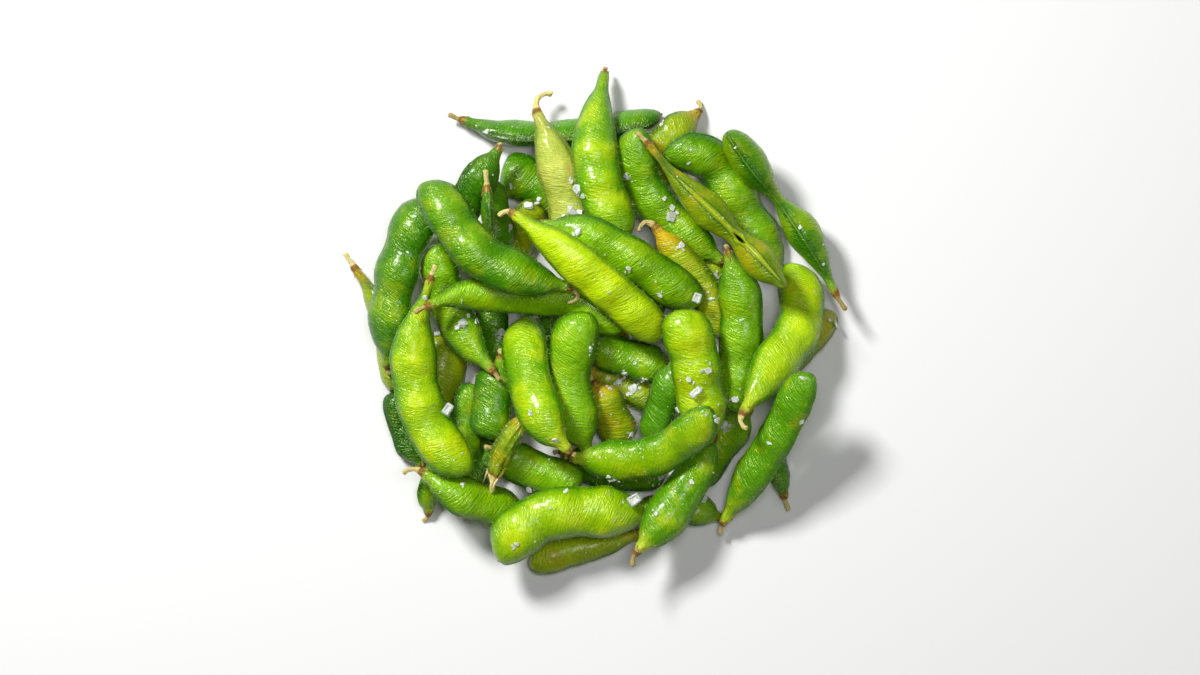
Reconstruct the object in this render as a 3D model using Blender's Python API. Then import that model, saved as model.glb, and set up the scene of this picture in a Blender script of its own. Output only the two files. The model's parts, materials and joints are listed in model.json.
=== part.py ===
"""A bundle of boiled edamame pods, heaped as they are served, with flakes of coarse salt on top.

Each pod is one grown piece: a curled stalk, a small dry calyx and the pod with its one to three beans.
Every pod starts as a sphere whose rings are drawn out along the pod's own course.
The heap is then built from the bottom: each pod is lowered, at the pitch that brings it lowest, until it
rests on the surface or on the pods that already lie there.

Lengths in the tables and functions are millimetres. Only the finished meshes and places are in metres.
"""

import math
from dataclasses import dataclass

import bmesh
import bpy
import numpy as np
from mathutils import Vector

MM = 0.001

# A pod's build
SIDES = 12  # corners of its cross-section, one of them on each seam
NECK_RADIUS = 1.5  # where the calyx holds the pod
CALYX_RADIUS = 1.3
STALK_RADIUS = 0.65
STALK_KNOB = 0.25  # how much wider the stalk is at its cut end, as a share of its radius
STALK_END_DOME = 0.4
THICKNESS_WAIST = 0.12  # how far the thickness draws in between two beans, beyond the width
CURL_ONSET = 1.5  # 1 curls the stalk evenly, and more leaves the curl to its end
KNOB_SPREAD = 0.2  # how far along the stalk its knob reaches, as a share
CUP_SPREAD = 0.3  # and how far the calyx's cup does
TIP_BLUNTNESS = 2.2  # 1 is a sharp tip, and more is a blunter one
FIRST_BEAN = 0.04  # how far past the neck the first bean lies, as a share of the pod's length
LAST_BEAN = 0.80  # where the last bean lies
LONE_BEAN = 0.08  # how far past their middle a pod's only bean lies

# Where its rings are, as shares: of the stalk from its cut end at -1, of the neck, and of the pod
STALK_RINGS = (-1.0, -0.5, -0.12, 0.0)
NECK_RINGS = (0.22, 0.6)
TIP_RINGS = (0.9, 0.965)

# How finely its course is followed
CURVE_STEPS = 40  # between two points of the course
STALK_STEPS = 24  # along the stalk
NEAR = 0.02  # the share of the length over which a heading is taken

# How the pods lie
CLEARANCE = 0.5  # kept between two pods, over their smooth surfaces
SINK = 0.6  # how far a pod that lies on the surface is pressed flat there
GRID = 0.3  # spacing of the height field that the pods are lowered onto
HALF_FIELD = 100.0  # half the side of that field
STEEPEST = 0.45  # the steepest slope that a pod may lie at
SLOPES = 21  # slopes tried, from falling to rising
BOWS = (-6.0, -4.0, -2.0, 0.0, 2.0, 4.0)  # how far the ends may hang or lift, against a straight pod
RELUCTANCE = 0.06  # how much lower a pod must come to lie for each millimetre that it bows or slips
NUDGES = (-1.5, 0.0, 1.5)  # how far a pod may slip sideways to find its bed, along X and along Y
COARSE = (46, 24)  # points along and around a pod while it looks for its bed
DENSE = (230, 96)  # and once it has found it
STALK_SHARE = 6  # one in this many of them is on the stalk
TURNS = 5  # slopes tried between two of the first ones

# A salt flake's build
FLAKE_TOP = 0.75  # its top as a share of its bottom
FLAKE_END = 0.88  # its narrow end as a share of its wide end
FLAKE_CUTS = 12  # how finely it feels for what it lies on

# Name: base colour and roughness of the skin
SKINS = {
    "bright": ((0.36, 0.62, 0.02), 0.32),
    "green": ((0.16, 0.46, 0.02), 0.32),
    "deep": ((0.06, 0.29, 0.02), 0.35),
    "olive": ((0.33, 0.38, 0.03), 0.38),
    "pale": ((0.55, 0.58, 0.18), 0.45),
}
SALT_COLOUR, SALT_ROUGHNESS = (0.93, 0.94, 0.92), 0.2


@dataclass
class Pod:
    """One pod: where it lies as seen from above, and how it is built."""

    skin: str
    course: tuple  # points from the stalk end to the tip, as seen from above
    width: float  # from seam to seam
    roll: float = 0.0  # degrees about its own length: 0 lies flat, 90 stands on a seam
    beans: int = 3
    stalk: float = 3.0  # length of the stalk
    curl: float = 40.0  # degrees that the stalk turns to the left, seen from above
    neck: float = 0.24  # share of the pod's length over which it widens from the calyx
    fullness: float = 0.64  # thickness as a share of width
    waist: float = 0.06  # how far the width draws in between two beans, as a share
    taper: float = 0.2  # share of the length over which it rounds off to its tip


@dataclass
class Flake:
    """One large flake of salt: where it lies, its three sides, and its heading and tilt in degrees."""

    place: tuple
    sides: tuple
    heading: float
    tilt: float


# From the bottom of the heap to its top
PODS = [
    # lying on the surface, around the edge
    Pod("deep", ((-44, 65.5), (-32, 62), (-13, 61.5), (5.5, 64), (20, 67)), 12, -62, 3, 5, -10),
    Pod("olive", ((-79, 17.5), (-73, 7.5), (-69, -8.5), (-67, -22)), 9.5, 55, 2, 6, 6),
    Pod("olive", ((14, -68), (0, -71.5), (-12, -74), (-23, -78)), 11, 5, 1, neck=0.55),
    Pod("green", ((39, -64.5), (29, -61.5), (12, -63)), 10.5, 10, 2, 7, 120),
    Pod("deep", ((59.5, -55.5), (57.5, -46), (56, -34)), 8, 40, 2, 5, 15),
    Pod("deep", ((-58, -46), (-63, -34), (-66, -22)), 10.5, 10, 2),
    Pod("green", ((57, -40), (63, -29), (64, -17)), 10.5, 40, 2),
    Pod("olive", ((50, -24), (62, -12.5), (75, 2.5)), 10.5, 0, 2),
    Pod("green", ((-57, -61), (-56.5, -54), (-50, -37)), 8.5, 30, 2, 3.5, -70),
    Pod("olive", ((-51, -30), (-50, -17), (-49.5, -4)), 14, 20, 1, neck=0.4),
    Pod("green", ((-7, 40), (-17, 44), (-32, 49.5)), 15, 0, 2),
    Pod("olive", ((31.5, 69.5), (24, 62.5), (19, 56), (18, 44)), 11.5, -10, 2, 4.5, 100),
    # lying on the surface, under the others
    Pod("deep", ((-28, -34), (-38, -44), (-46, -53)), 12.5, 10, 2),
    Pod("deep", ((-12, -42), (3, -48), (21, -48)), 12, -15, 2),
    Pod("olive", ((30, -2), (36, 10), (37, 21)), 11.5, 15, 2),
    Pod("olive", ((-27, 18), (-24, 28), (-19, 39)), 10.5, 20, 2),
    Pod("deep", ((-28.5, 23), (-31.5, 36), (-34, 48)), 10, 35, 2),
    Pod("olive", ((-4, -14), (6, -19), (18, -25)), 10.5, -10, 2),
    Pod("olive", ((8, -4), (3, 4), (-6, 13)), 10, 10, 2, 5, 80),
    Pod("deep", ((24, 18), (15, 7), (12, -6)), 10.5, 0, 2),
    Pod("deep", ((-16, 6), (-15.5, -10), (-14, -26)), 10, 0, 2),
    Pod("green", ((-46, -48), (-44.5, -34), (-42, -21)), 11, 15, 2),
    Pod("deep", ((-31, 55.5), (-37, 46), (-44, 33), (-45, 18)), 12, -20, 3, 2),
    Pod("green", ((48, -28), (39, -39), (30, -52)), 12.5, 0, 2),
    Pod("green", ((-34, -39), (-22, -45.5), (-6, -51)), 13, 5, 2),
    Pod("olive", ((0, -18), (5, -28), (9, -37)), 12.5, 5, 2),
    Pod("green", ((22, -17), (10, -13.5), (-4, -9.5)), 12.5, 0, 2),
    Pod("deep", ((-35, 10), (-34.5, -4), (-31, -20)), 10.5, 10, 2),
    # the middle of the heap
    Pod("green", ((-33.5, -13), (-36, -26), (-37, -39)), 13, 10, 2),
    Pod("deep", ((22.5, -11), (19.5, -21), (15, -37)), 11, 25, 2, 2, 20),
    Pod("deep", ((-36, 44), (-35.5, 32), (-34.5, 16)), 10, 80, 2, 6, 4, fullness=0.42),
    Pod("green", ((-58, -46.5), (-51, -51), (-43, -55), (-27, -60)), 13, -15, 2, 7, 80, 0.4),
    Pod("olive", ((-24, -29), (-29.5, -38), (-35.5, -51)), 8, 30, 2, fullness=0.5),
    Pod("green", ((-33, -15), (-41.5, -5), (-48, 9), (-52.5, 25)), 12.5, -10, 3, 4, -10, 0.35),
    Pod("green", ((-67, -12), (-66, 3), (-62.5, 22), (-54.5, 42)), 15, -20, 3, waist=0.16),
    Pod("bright", ((-55.5, 14), (-61, -7), (-57.5, -30), (-44.5, -49)), 15, -10, 3, 4.5, -15, 0.35),
    Pod("green", ((41, 18.5), (26, 29.5), (14.5, 44), (12, 61)), 14, -20),
    Pod("olive", ((16.5, 32), (22, 25), (32, 13.5), (37, -3)), 9.5, 15, 2, 8, 150),
    Pod("green", ((58, 16), (50, 28), (42, 43), (34, 54), (20, 58.5)), 15.5, 0, waist=0.18),
    Pod("pale", ((-21.5, 67.5), (-16.5, 54), (-12, 38), (-10, 25)), 13, 5, 2, 10, -130, 0.4, 0.55),
    Pod("bright", ((3, 79), (0.5, 65), (0, 52), (3, 38), (10, 25)), 14.5, 0, 3, 2, 5, 0.42, waist=0.02),
    Pod("green", ((41, 21), (45, 6), (45, -10), (42, -30)), 14, 10, 3, 2.5, 0),
    Pod("bright", ((44, -30), (53, -16.5), (63, -1), (62, 18)), 14.5, 5, 3, 6, 110, 0.33),
    Pod("green", ((-56, 4), (-46, 7.5), (-28, 7), (-9, 4.5), (6, -4.5)), 11.5, 20, 3, 4.5, 10, 0.28),
    Pod("green", ((-2.5, -40), (-7, -26), (-8, -12), (-4.5, 5.5)), 15, -5, 2, waist=0.14),
    # on top
    Pod("green", ((-17, 33), (0, 28), (17, 18.5), (33, 7)), 14, 12),
    Pod("green", ((-8.5, 13), (-21, 16), (-38, 24.5), (-53.5, 47)), 14.5, 8, 3, 9, -200, 0.28),
    Pod("bright", ((-26, 36), (-13, 26.5), (5, 11.5), (21.5, -3)), 13.5, 15, 3, 5, 100, 0.4, waist=0.03),
    Pod("bright", ((36, -37), (32.5, -24), (30, -9), (25.5, 6)), 16, 0),
    Pod("green", ((74, 8.5), (65, 26), (51, 44), (39, 60)), 13, 76, 2, 6.5, 12, 0.3, 0.85, 0.5),
    Pod("olive", ((15.5, 55.5), (27, 42), (42, 27.5), (59, 9.5)), 12, 86, 2, 5, 10, 0.42, 0.9, 0.2),
    Pod("bright", ((38.5, -62.5), (47, -48), (56, -33), (64.5, -14)), 12.5, -25, 3, 4, 40, 0.3),
    Pod("bright", ((17, -60.5), (0, -59), (-18, -60.5), (-34.5, -72)), 16.5, 0),
    Pod("bright", ((10.5, -71.5), (18, -63), (28, -48.5), (35.5, -37.5)), 14, -5, 2, 5, 60, 0.3, taper=0.6),
    Pod("bright", ((-9, -41.5), (4, -42.5), (20, -40), (36.5, -27)), 13, 10, 3, 2, 0),
    Pod("bright", ((-10, -42), (-17.5, -33), (-23, -18), (-25, 0)), 14.5, -8, 2, 2.5, 30, 0.3),
]

FLAKES = [
    Flake((-48.5, -27.5), (4.2, 3.0, 1.3), 55, 8),
    Flake((11, -56.5), (4.4, 3.8, 1.4), 35, 6),
    Flake((30.5, -22), (4.6, 2.6, 1.1), 40, -6),
    Flake((31, 8), (3.4, 3.0, 1.3), 70, 10),
]


def smooth_course(points, shares):
    """Points at these shares of the length of a smooth curve through the given points (Catmull-Rom)."""
    knots = np.array(points, float)
    knots = np.vstack([2 * knots[0] - knots[1], knots, 2 * knots[-1] - knots[-2]])
    u = np.linspace(0, 1, CURVE_STEPS, endpoint=False)[:, None]
    runs = []
    for before, start, end, after in zip(knots, knots[1:], knots[2:], knots[3:]):
        runs.append(
            0.5
            * (
                2 * start
                + (end - before) * u
                + (2 * before - 5 * start + 4 * end - after) * u**2
                + (3 * start - before - 3 * end + after) * u**3
            )
        )
    curve = np.vstack([*runs, knots[-2:-1]])
    travelled = np.concatenate([[0], np.cumsum(np.linalg.norm(np.diff(curve, axis=0), axis=1))])
    places = np.asarray(shares) * travelled[-1]
    return np.stack([np.interp(places, travelled, curve[:, k]) for k in (0, 1)], axis=1)


def length_of(pod):
    """Length of the pod's body, as seen from above."""
    points = smooth_course(pod.course, np.linspace(0, 1, CURVE_STEPS))
    return np.linalg.norm(np.diff(points, axis=0), axis=1).sum()


def plan_of(pod, stations):
    """Where the centre line runs, as seen from above. Stations run from -1 at the stalk's cut end to 0 at the
    calyx and 1 at the tip."""
    stations = np.asarray(stations, float)
    body = smooth_course(pod.course, np.clip(stations, 0, 1))
    start, ahead = smooth_course(pod.course, (0, 2 * NEAR))
    heading = math.atan2(*(start - ahead)[::-1])
    travelled = np.linspace(0, 1, STALK_STEPS + 1)
    turned = heading + math.radians(pod.curl) * travelled**CURL_ONSET
    step = pod.stalk / STALK_STEPS
    x = start[0] + np.concatenate([[0], np.cumsum(np.cos(turned[1:]) * step)])
    y = start[1] + np.concatenate([[0], np.cumsum(np.sin(turned[1:]) * step)])
    out = np.clip(-stations, 0, 1)
    stalk = np.stack([np.interp(out, travelled, x), np.interp(out, travelled, y)], axis=1)
    return np.where(stations[:, None] < 0, stalk, body)


def bean_places(pod):
    """Shares of the length where the beans' middles are."""
    first = pod.neck + FIRST_BEAN
    if pod.beans == 1:
        return [(first + LAST_BEAN) / 2 + LONE_BEAN]
    return list(np.linspace(first, LAST_BEAN, pod.beans))


def fill_at(pod, shares):
    """1 over a bean and 0 halfway between two beans."""
    beans = bean_places(pod)
    if len(beans) == 1:
        return np.ones_like(shares)
    gap = beans[1] - beans[0]
    inside = (shares > beans[0]) & (shares < beans[-1])
    return np.where(inside, 0.5 + 0.5 * np.cos(2 * np.pi * (shares - beans[0]) / gap), 1.0)


def girth_of(pod, stations):
    """Half width and half thickness at each station."""
    stations = np.asarray(stations, float)
    along = np.clip(stations, 0, 1)
    half = pod.width / 2
    rise = np.clip(along / pod.neck, 0, 1)
    rise = rise * rise * (3 - 2 * rise)
    fall = np.clip(1 - (1 - along) / pod.taper, 0, 1)
    hull = np.sqrt(np.clip(1 - fall**TIP_BLUNTNESS, 0, 1))
    lean = 1 - fill_at(pod, along)
    wide = NECK_RADIUS + (half * (1 - pod.waist * lean) - NECK_RADIUS) * rise
    slimming = (pod.waist + THICKNESS_WAIST * (1 - pod.waist)) * lean
    thick = NECK_RADIUS + (half * pod.fullness * (1 - slimming) - NECK_RADIUS) * rise
    out = np.clip(-stations, 0, 1)
    knob = STALK_RADIUS * (1 + STALK_KNOB * np.exp(-(((out - 1) / KNOB_SPREAD) ** 2)))
    cup = (CALYX_RADIUS - STALK_RADIUS) * np.exp(-((out / CUP_SPREAD) ** 4))
    stalk = knob + cup
    return (
        np.where(stations < 0, stalk, wide * hull),
        np.where(stations < 0, stalk, thick * hull),
    )


@dataclass
class Lie:
    """How a pod lies: its slope, how far its ends stand above its middle, its slip, and its height."""

    slope: float = 0.0
    bow: float = 0.0
    slip: tuple = (0.0, 0.0)
    lift: float = 0.0


class Form:
    """A pod's shape at a set of stations, ready to be laid in any way."""

    def __init__(self, pod, stations):
        stations = np.asarray(stations, float)
        self.roll = math.radians(pod.roll)
        self.plan = plan_of(pod, stations)
        self.flat = plan_of(pod, stations + NEAR / 2) - plan_of(pod, stations - NEAR / 2)
        self.flat /= np.linalg.norm(self.flat, axis=1, keepdims=True)
        reach = length_of(pod)
        travelled = np.where(stations < 0, pod.stalk, reach) * stations
        self.half = reach / 2
        self.from_middle = travelled - self.half
        self.wide, self.thick = girth_of(pod, stations)

    def frames(self, lie):
        """Centre, sideways, upward and forward directions at each station."""
        share = self.from_middle / self.half
        rise = lie.slope * self.from_middle + lie.bow * (share**2 - 1 / 3) + lie.lift
        steep = lie.slope + 2 * lie.bow * share / self.half
        centre = np.column_stack([self.plan + lie.slip, rise])
        forward = np.column_stack([self.flat, steep]) / np.hypot(1, steep)[:, None]
        level = np.column_stack([-self.flat[:, 1], self.flat[:, 0], np.zeros(len(share))])
        upright = np.cross(forward, level)
        sideways = math.cos(self.roll) * level + math.sin(self.roll) * upright
        upward = math.cos(self.roll) * upright - math.sin(self.roll) * level
        return centre, sideways, upward, forward

    def skin(self, lie, around, proud=0.0):
        """Points of the skin, one row for each station, standing proud of it by the given distance."""
        centre, sideways, upward, _ = self.frames(lie)
        across = (self.wide[:, None] + proud) * np.cos(around)
        up = (self.thick[:, None] + proud) * np.sin(around)
        return centre[:, None] + across[..., None] * sideways[:, None] + up[..., None] * upward[:, None]


class HeapTop:
    """The height of what already lies in the heap, over a square field. The empty surface is at 0."""

    def __init__(self):
        count = int(2 * HALF_FIELD / GRID)
        self.height = np.full((count, count), -np.inf)

    def cells(self, points):
        index = ((points[..., :2] + HALF_FIELD) / GRID).astype(int)
        return index[..., 0].ravel(), index[..., 1].ravel()

    def lift_for(self, points):
        """How far points have to be raised to clear the heap, and to sink at most SINK into the surface."""
        clear = (self.height[self.cells(points)] - points[..., 2].ravel()).max()
        return max(clear, -SINK - points[..., 2].min())

    def add(self, points):
        np.maximum.at(self.height, self.cells(points), points[..., 2].ravel())


def sampled(pod, along, around):
    """The pod's form at many stations, and the angles of as many points around it."""
    on_stalk = along // STALK_SHARE
    stalk = np.linspace(-1, 0, on_stalk, endpoint=False)
    stations = np.concatenate([stalk, np.linspace(0, 1, along - on_stalk)])
    return Form(pod, stations), np.linspace(0, 2 * np.pi, around, endpoint=False)


def lay(pod, heap):
    """Finds how the pod lies with its middle as low as it goes, and adds it to the heap."""
    form, around = sampled(pod, *COARSE)

    def height(lie):
        effort = abs(lie.bow) + math.hypot(*lie.slip)
        return heap.lift_for(form.skin(lie, around)) + RELUCTANCE * effort

    slopes = np.linspace(-STEEPEST, STEEPEST, SLOPES)
    lie = min((Lie(slope, bow) for slope in slopes for bow in BOWS), key=height)
    turns = np.linspace(-1, 1, TURNS) * STEEPEST / SLOPES
    slips = [(x, y) for x in NUDGES for y in NUDGES]
    lie = min((Lie(lie.slope + turn, lie.bow, slip) for slip in slips for turn in turns), key=height)
    form, around = sampled(pod, *DENSE)
    lie.lift = heap.lift_for(form.skin(lie, around))
    heap.add(form.skin(lie, around, CLEARANCE))
    return lie


def rings_of(pod):
    """The stations of the solid's rings: stalk, calyx, neck, each bean's middle, each waist, and the tip."""
    beans = bean_places(pod)
    waists = [(a + b) / 2 for a, b in zip(beans, beans[1:])]
    neck = [share * pod.neck for share in NECK_RINGS]
    return np.array([*STALK_RINGS, *neck, *sorted([*beans, *waists]), *TIP_RINGS])


def skin_material(name, colour, roughness):
    material = bpy.data.materials.new(name)
    material.use_nodes = True
    shader = material.node_tree.nodes["Principled BSDF"]
    shader.inputs["Base Color"].default_value = (*colour, 1)
    shader.inputs["Roughness"].default_value = roughness
    shader.inputs["Metallic"].default_value = 0
    return material


def add_piece(name, bm, material, parent):
    """Makes an object of the mesh, with its origin at its own middle."""
    middle = sum((v.co for v in bm.verts), Vector()) / len(bm.verts)
    for vertex in bm.verts:
        vertex.co = (vertex.co - middle) * MM
    mesh = bpy.data.meshes.new(name)
    bm.to_mesh(mesh)
    bm.free()
    mesh.shade_smooth()
    mesh.materials.append(material)
    piece = bpy.data.objects.new(name, mesh)
    piece.location = middle * MM
    piece.parent = parent
    bpy.context.scene.collection.objects.link(piece)
    return piece


def build_pod(name, pod, lie, material, parent):
    """Draws a sphere's rings out along the pod's course: its lower pole becomes the stalk's end, its upper
    pole the tip."""
    stations = rings_of(pod)
    form = Form(pod, stations)
    centre, sideways, upward, forward = form.frames(lie)
    start = centre[0] - forward[0] * STALK_END_DOME
    end = Form(pod, [1.0]).frames(lie)[0][0]
    bm = bmesh.new()
    bmesh.ops.create_uvsphere(bm, u_segments=SIDES, v_segments=len(stations) + 1, radius=1)
    for vertex in bm.verts:
        x, y, z = vertex.co
        ring = round((1 - math.acos(max(-1, min(1, z))) / math.pi) * (len(stations) + 1)) - 1
        if ring < 0:
            place = start
        elif ring == len(stations):
            place = end
        else:
            angle = math.atan2(y, x)
            place = (
                centre[ring]
                + form.wide[ring] * math.cos(angle) * sideways[ring]
                + form.thick[ring] * math.sin(angle) * upward[ring]
            )
        vertex.co = (place[0], place[1], max(place[2], 0))
    return add_piece(name, bm, material, parent)


def build_flake(name, flake, heap, material, parent):
    """A thin, slightly skewed crystal, lowered onto the pods."""
    bm = bmesh.new()
    bmesh.ops.create_cube(bm, size=1)
    turn, tilt = math.radians(flake.heading), math.radians(flake.tilt)
    for vertex in bm.verts:
        x, y, z = (side * share for side, share in zip(flake.sides, vertex.co))
        if z > 0:
            x, y = x * FLAKE_TOP, y * FLAKE_TOP
        if x > 0:
            y *= FLAKE_END
        z += x * math.tan(tilt)
        vertex.co = (
            flake.place[0] + x * math.cos(turn) - y * math.sin(turn),
            flake.place[1] + x * math.sin(turn) + y * math.cos(turn),
            z,
        )
    bmesh.ops.triangulate(bm, faces=bm.faces)
    filled = bm.copy()
    bmesh.ops.subdivide_edges(filled, edges=filled.edges, cuts=FLAKE_CUTS, use_grid_fill=True)
    points = np.array([v.co for v in filled.verts])
    filled.free()
    lift = heap.lift_for(points)
    points[:, 2] += lift + CLEARANCE
    heap.add(points)
    for vertex in bm.verts:
        vertex.co.z += lift
    return add_piece(name, bm, material, parent)


def centre_heap(parent, pieces):
    """Moves the heap so that the middle of its plan is at the origin."""
    bpy.context.view_layer.update()
    points = np.array([piece.matrix_world @ v.co for piece in pieces for v in piece.data.vertices])
    low, high = points.min(axis=0), points.max(axis=0)
    parent.location = (-(low[0] + high[0]) / 2, -(low[1] + high[1]) / 2, 0)


def main():
    for old in list(bpy.data.objects):
        bpy.data.objects.remove(old)
    bundle = bpy.data.objects.new("bundle", None)
    bpy.context.scene.collection.objects.link(bundle)
    skins = {name: skin_material(f"pod_{name}", *look) for name, look in SKINS.items()}
    salt = skin_material("salt", SALT_COLOUR, SALT_ROUGHNESS)
    heap = HeapTop()
    pieces = []
    for number, pod in enumerate(PODS, 1):
        pieces.append(build_pod(f"pod_{number:02d}", pod, lay(pod, heap), skins[pod.skin], bundle))
    for number, flake in enumerate(FLAKES, 1):
        pieces.append(build_flake(f"salt_flake_{number}", flake, heap, salt, bundle))
    centre_heap(bundle, pieces)


if __name__ == "__main__":
    main()
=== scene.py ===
"""Dresses a heaped bundle of boiled, salted edamame pods.

Each pod's solid is read back as a course of rings, and a fine skin is grown along it: seams with their
ridges, swellings over the beans, a beaked tip and a ridged stalk. Geometry Nodes then add the sepals of
the calyx, the flakes and grains of salt, and the fine hairs.
"""

import json
import logging
import math
from dataclasses import dataclass, field, replace
from enum import Enum

import bmesh
import bpy
import numpy as np
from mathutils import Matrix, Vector
from mathutils.bvhtree import BVHTree

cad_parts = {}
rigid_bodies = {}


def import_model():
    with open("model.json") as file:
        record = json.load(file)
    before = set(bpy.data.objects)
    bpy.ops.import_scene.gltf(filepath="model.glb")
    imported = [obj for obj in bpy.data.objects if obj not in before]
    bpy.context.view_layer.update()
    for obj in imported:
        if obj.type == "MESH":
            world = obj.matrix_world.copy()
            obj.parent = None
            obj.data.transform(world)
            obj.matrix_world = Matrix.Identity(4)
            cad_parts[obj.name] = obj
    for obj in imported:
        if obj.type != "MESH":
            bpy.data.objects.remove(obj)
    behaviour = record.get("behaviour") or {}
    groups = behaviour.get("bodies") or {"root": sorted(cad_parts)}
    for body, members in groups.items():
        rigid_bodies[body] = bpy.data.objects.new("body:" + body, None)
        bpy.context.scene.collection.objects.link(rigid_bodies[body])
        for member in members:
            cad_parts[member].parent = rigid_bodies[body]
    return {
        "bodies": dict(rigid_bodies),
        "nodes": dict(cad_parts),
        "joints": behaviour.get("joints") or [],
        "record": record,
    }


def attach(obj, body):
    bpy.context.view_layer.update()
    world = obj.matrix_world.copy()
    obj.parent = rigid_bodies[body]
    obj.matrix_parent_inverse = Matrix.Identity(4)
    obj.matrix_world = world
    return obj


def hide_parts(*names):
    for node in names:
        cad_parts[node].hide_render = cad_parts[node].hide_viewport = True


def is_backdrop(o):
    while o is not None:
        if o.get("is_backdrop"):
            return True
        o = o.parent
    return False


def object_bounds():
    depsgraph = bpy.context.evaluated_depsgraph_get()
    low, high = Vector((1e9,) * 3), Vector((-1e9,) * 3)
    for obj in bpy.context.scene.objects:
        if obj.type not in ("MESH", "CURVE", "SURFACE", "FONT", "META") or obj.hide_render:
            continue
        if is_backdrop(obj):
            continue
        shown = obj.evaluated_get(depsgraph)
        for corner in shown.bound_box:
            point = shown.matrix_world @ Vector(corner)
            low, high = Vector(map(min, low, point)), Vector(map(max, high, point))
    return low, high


LOG = logging.getLogger("edamame")
MM = 0.001
BODY = "root"
SHRIVELLED = "pod_33"
# In metres: points nearer than WELD are one, and rays start RAY_START above the heap.
WELD = 1e-6
RAY_START = 0.05
DOWN = Vector((0, 0, -1))

Colour = tuple[float, float, float, float]


def ink(red: int, green: int, blue: int) -> Colour:
    """Turns a colour as a screen shows it into the linear values that shaders use.

    Args:
        red: Red, 0 to 255.
        green: Green, 0 to 255.
        blue: Blue, 0 to 255.

    Returns:
        Linear red, green and blue, and an alpha of 1.
    """
    shares = [value / 255 for value in (red, green, blue)]
    linear = [share / 12.92 if share <= 0.04045 else ((share + 0.055) / 1.055) ** 2.4 for share in shares]
    return (*linear, 1.0)


class Tone(Enum):
    """The tones that pods come in, each the name of its material slot."""

    BRIGHT = "pod_bright"
    GREEN = "pod_green"
    # A darker green, partly painted shade for the pods that lie deep in the heap.
    DEEP = "pod_deep"
    OLIVE = "pod_olive"
    PALE = "pod_pale"


@dataclass(frozen=True)
class PodFinish:
    """The colours and gloss of one tone of pod.

    Attributes:
        flank: The colour between the beans.
        crown: The colour over a bean, and of the painted highlights on the creases' crests.
        seam: The colour along a seam, of the fine grain, and of the painted shade in the creases' troughs
            and along the edges.
        neck: The colour near the calyx, and of a seam's ridge.
        blotch: The colour of the broad blotches.
        blotching: How strongly the blotches show.
        roughness: How rough the skin is where no water lies on it.
        wetness: How much water lies on it.
    """

    flank: Colour
    crown: Colour
    seam: Colour
    neck: Colour
    blotch: Colour
    blotching: float = 0.25
    roughness: float = 0.3
    wetness: float = 1.0


POD_FINISHES = {
    Tone.BRIGHT: PodFinish(
        flank=ink(80, 140, 0),
        crown=ink(182, 214, 6),
        seam=ink(30, 104, 2),
        neck=ink(196, 214, 40),
        blotch=ink(196, 196, 10),
    ),
    Tone.GREEN: PodFinish(
        flank=ink(46, 108, 0),
        crown=ink(128, 180, 3),
        seam=ink(18, 86, 2),
        neck=ink(140, 184, 24),
        blotch=ink(166, 176, 8),
    ),
    # A darker green, partly painted shade for the pods that lie deep in the heap.
    Tone.DEEP: PodFinish(
        flank=ink(20, 84, 3),
        crown=ink(80, 144, 6),
        seam=ink(10, 62, 4),
        neck=ink(88, 140, 20),
        blotch=ink(108, 132, 14),
    ),
    Tone.OLIVE: PodFinish(
        flank=ink(78, 112, 2),
        crown=ink(158, 180, 10),
        seam=ink(40, 88, 4),
        neck=ink(206, 170, 16),
        blotch=ink(176, 140, 10),
        blotching=0.35,
        roughness=0.36,
    ),
    Tone.PALE: PodFinish(
        flank=ink(132, 154, 34),
        crown=ink(192, 198, 88),
        seam=ink(86, 116, 22),
        neck=ink(200, 194, 100),
        blotch=ink(170, 150, 66),
        blotching=0.45,
        roughness=0.38,
        wetness=0.9,
    ),
}


@dataclass(frozen=True)
class SkinDetail:
    """How strongly each detail of a pod's skin shows, with its sizes in millimetres.

    Attributes:
        cloud_size: How large the broad clouds of colour are.
        speck_size: How large the small specks are.
        crown: How far a bean's crown lightens the skin.
        clouds: How far the clouds lighten it.
        shade: How far a pod's own value lightens it, which is partly its tone and partly painted light and
            shade.
        darkening: How far all of it is darkened again.
        grain: How far the fine grain darkens it.
        specks: How strongly the specks show.
        crest_painted_highlight: How far the crests of the creases are lightened, as a painted highlight.
        trough_painted_shade: How far their troughs are darkened, as painted shade.
        seam: How far the skin darkens near a seam: a dark suture line, widened into painted shade along the
            pod's edges.
        ridge: How far the seam's ridge lightens it.
        crease_spacing: The distance from one fine crease to the next.
        crease_slant: How far a crease leans along the pod as it crosses it.
        crease_depth: The depth of the creases, in metres.
        water: The weight of the coat of water.
        wet_smoothing: How far water smooths the skin.
        grain_roughness: How far the grain roughens it.
        dry_roughness: How much rougher the dry ends are.
    """

    cloud_size: float = 9.0
    speck_size: float = 1.3
    crown: float = 0.8
    clouds: float = 0.34
    shade: float = 0.45
    darkening: float = 0.16
    grain: float = 0.08
    specks: float = 0.1
    crest_painted_highlight: float = 0.1
    trough_painted_shade: float = 0.08
    seam: float = 0.6
    ridge: float = 0.2
    crease_spacing: float = 0.48
    crease_slant: float = 0.45
    crease_depth: float = 0.00042
    water: float = 0.55
    wet_smoothing: float = 0.15
    grain_roughness: float = 0.12
    dry_roughness: float = 0.15


# The skin's values that are the same all over it, by the shader's socket.
SKIN_SHADER = {
    "Coat Roughness": 0.17,
    "Coat IOR": 1.34,
    "IOR": 1.36,
    "Specular IOR Level": 0.95,
    "Specular Tint": (0.94, 1.0, 0.42, 1.0),
    "Subsurface Weight": 0.3,
    "Subsurface Radius": (0.0012, 0.0018, 0.0004),
    "Subsurface Scale": 1.0,
}


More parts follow.
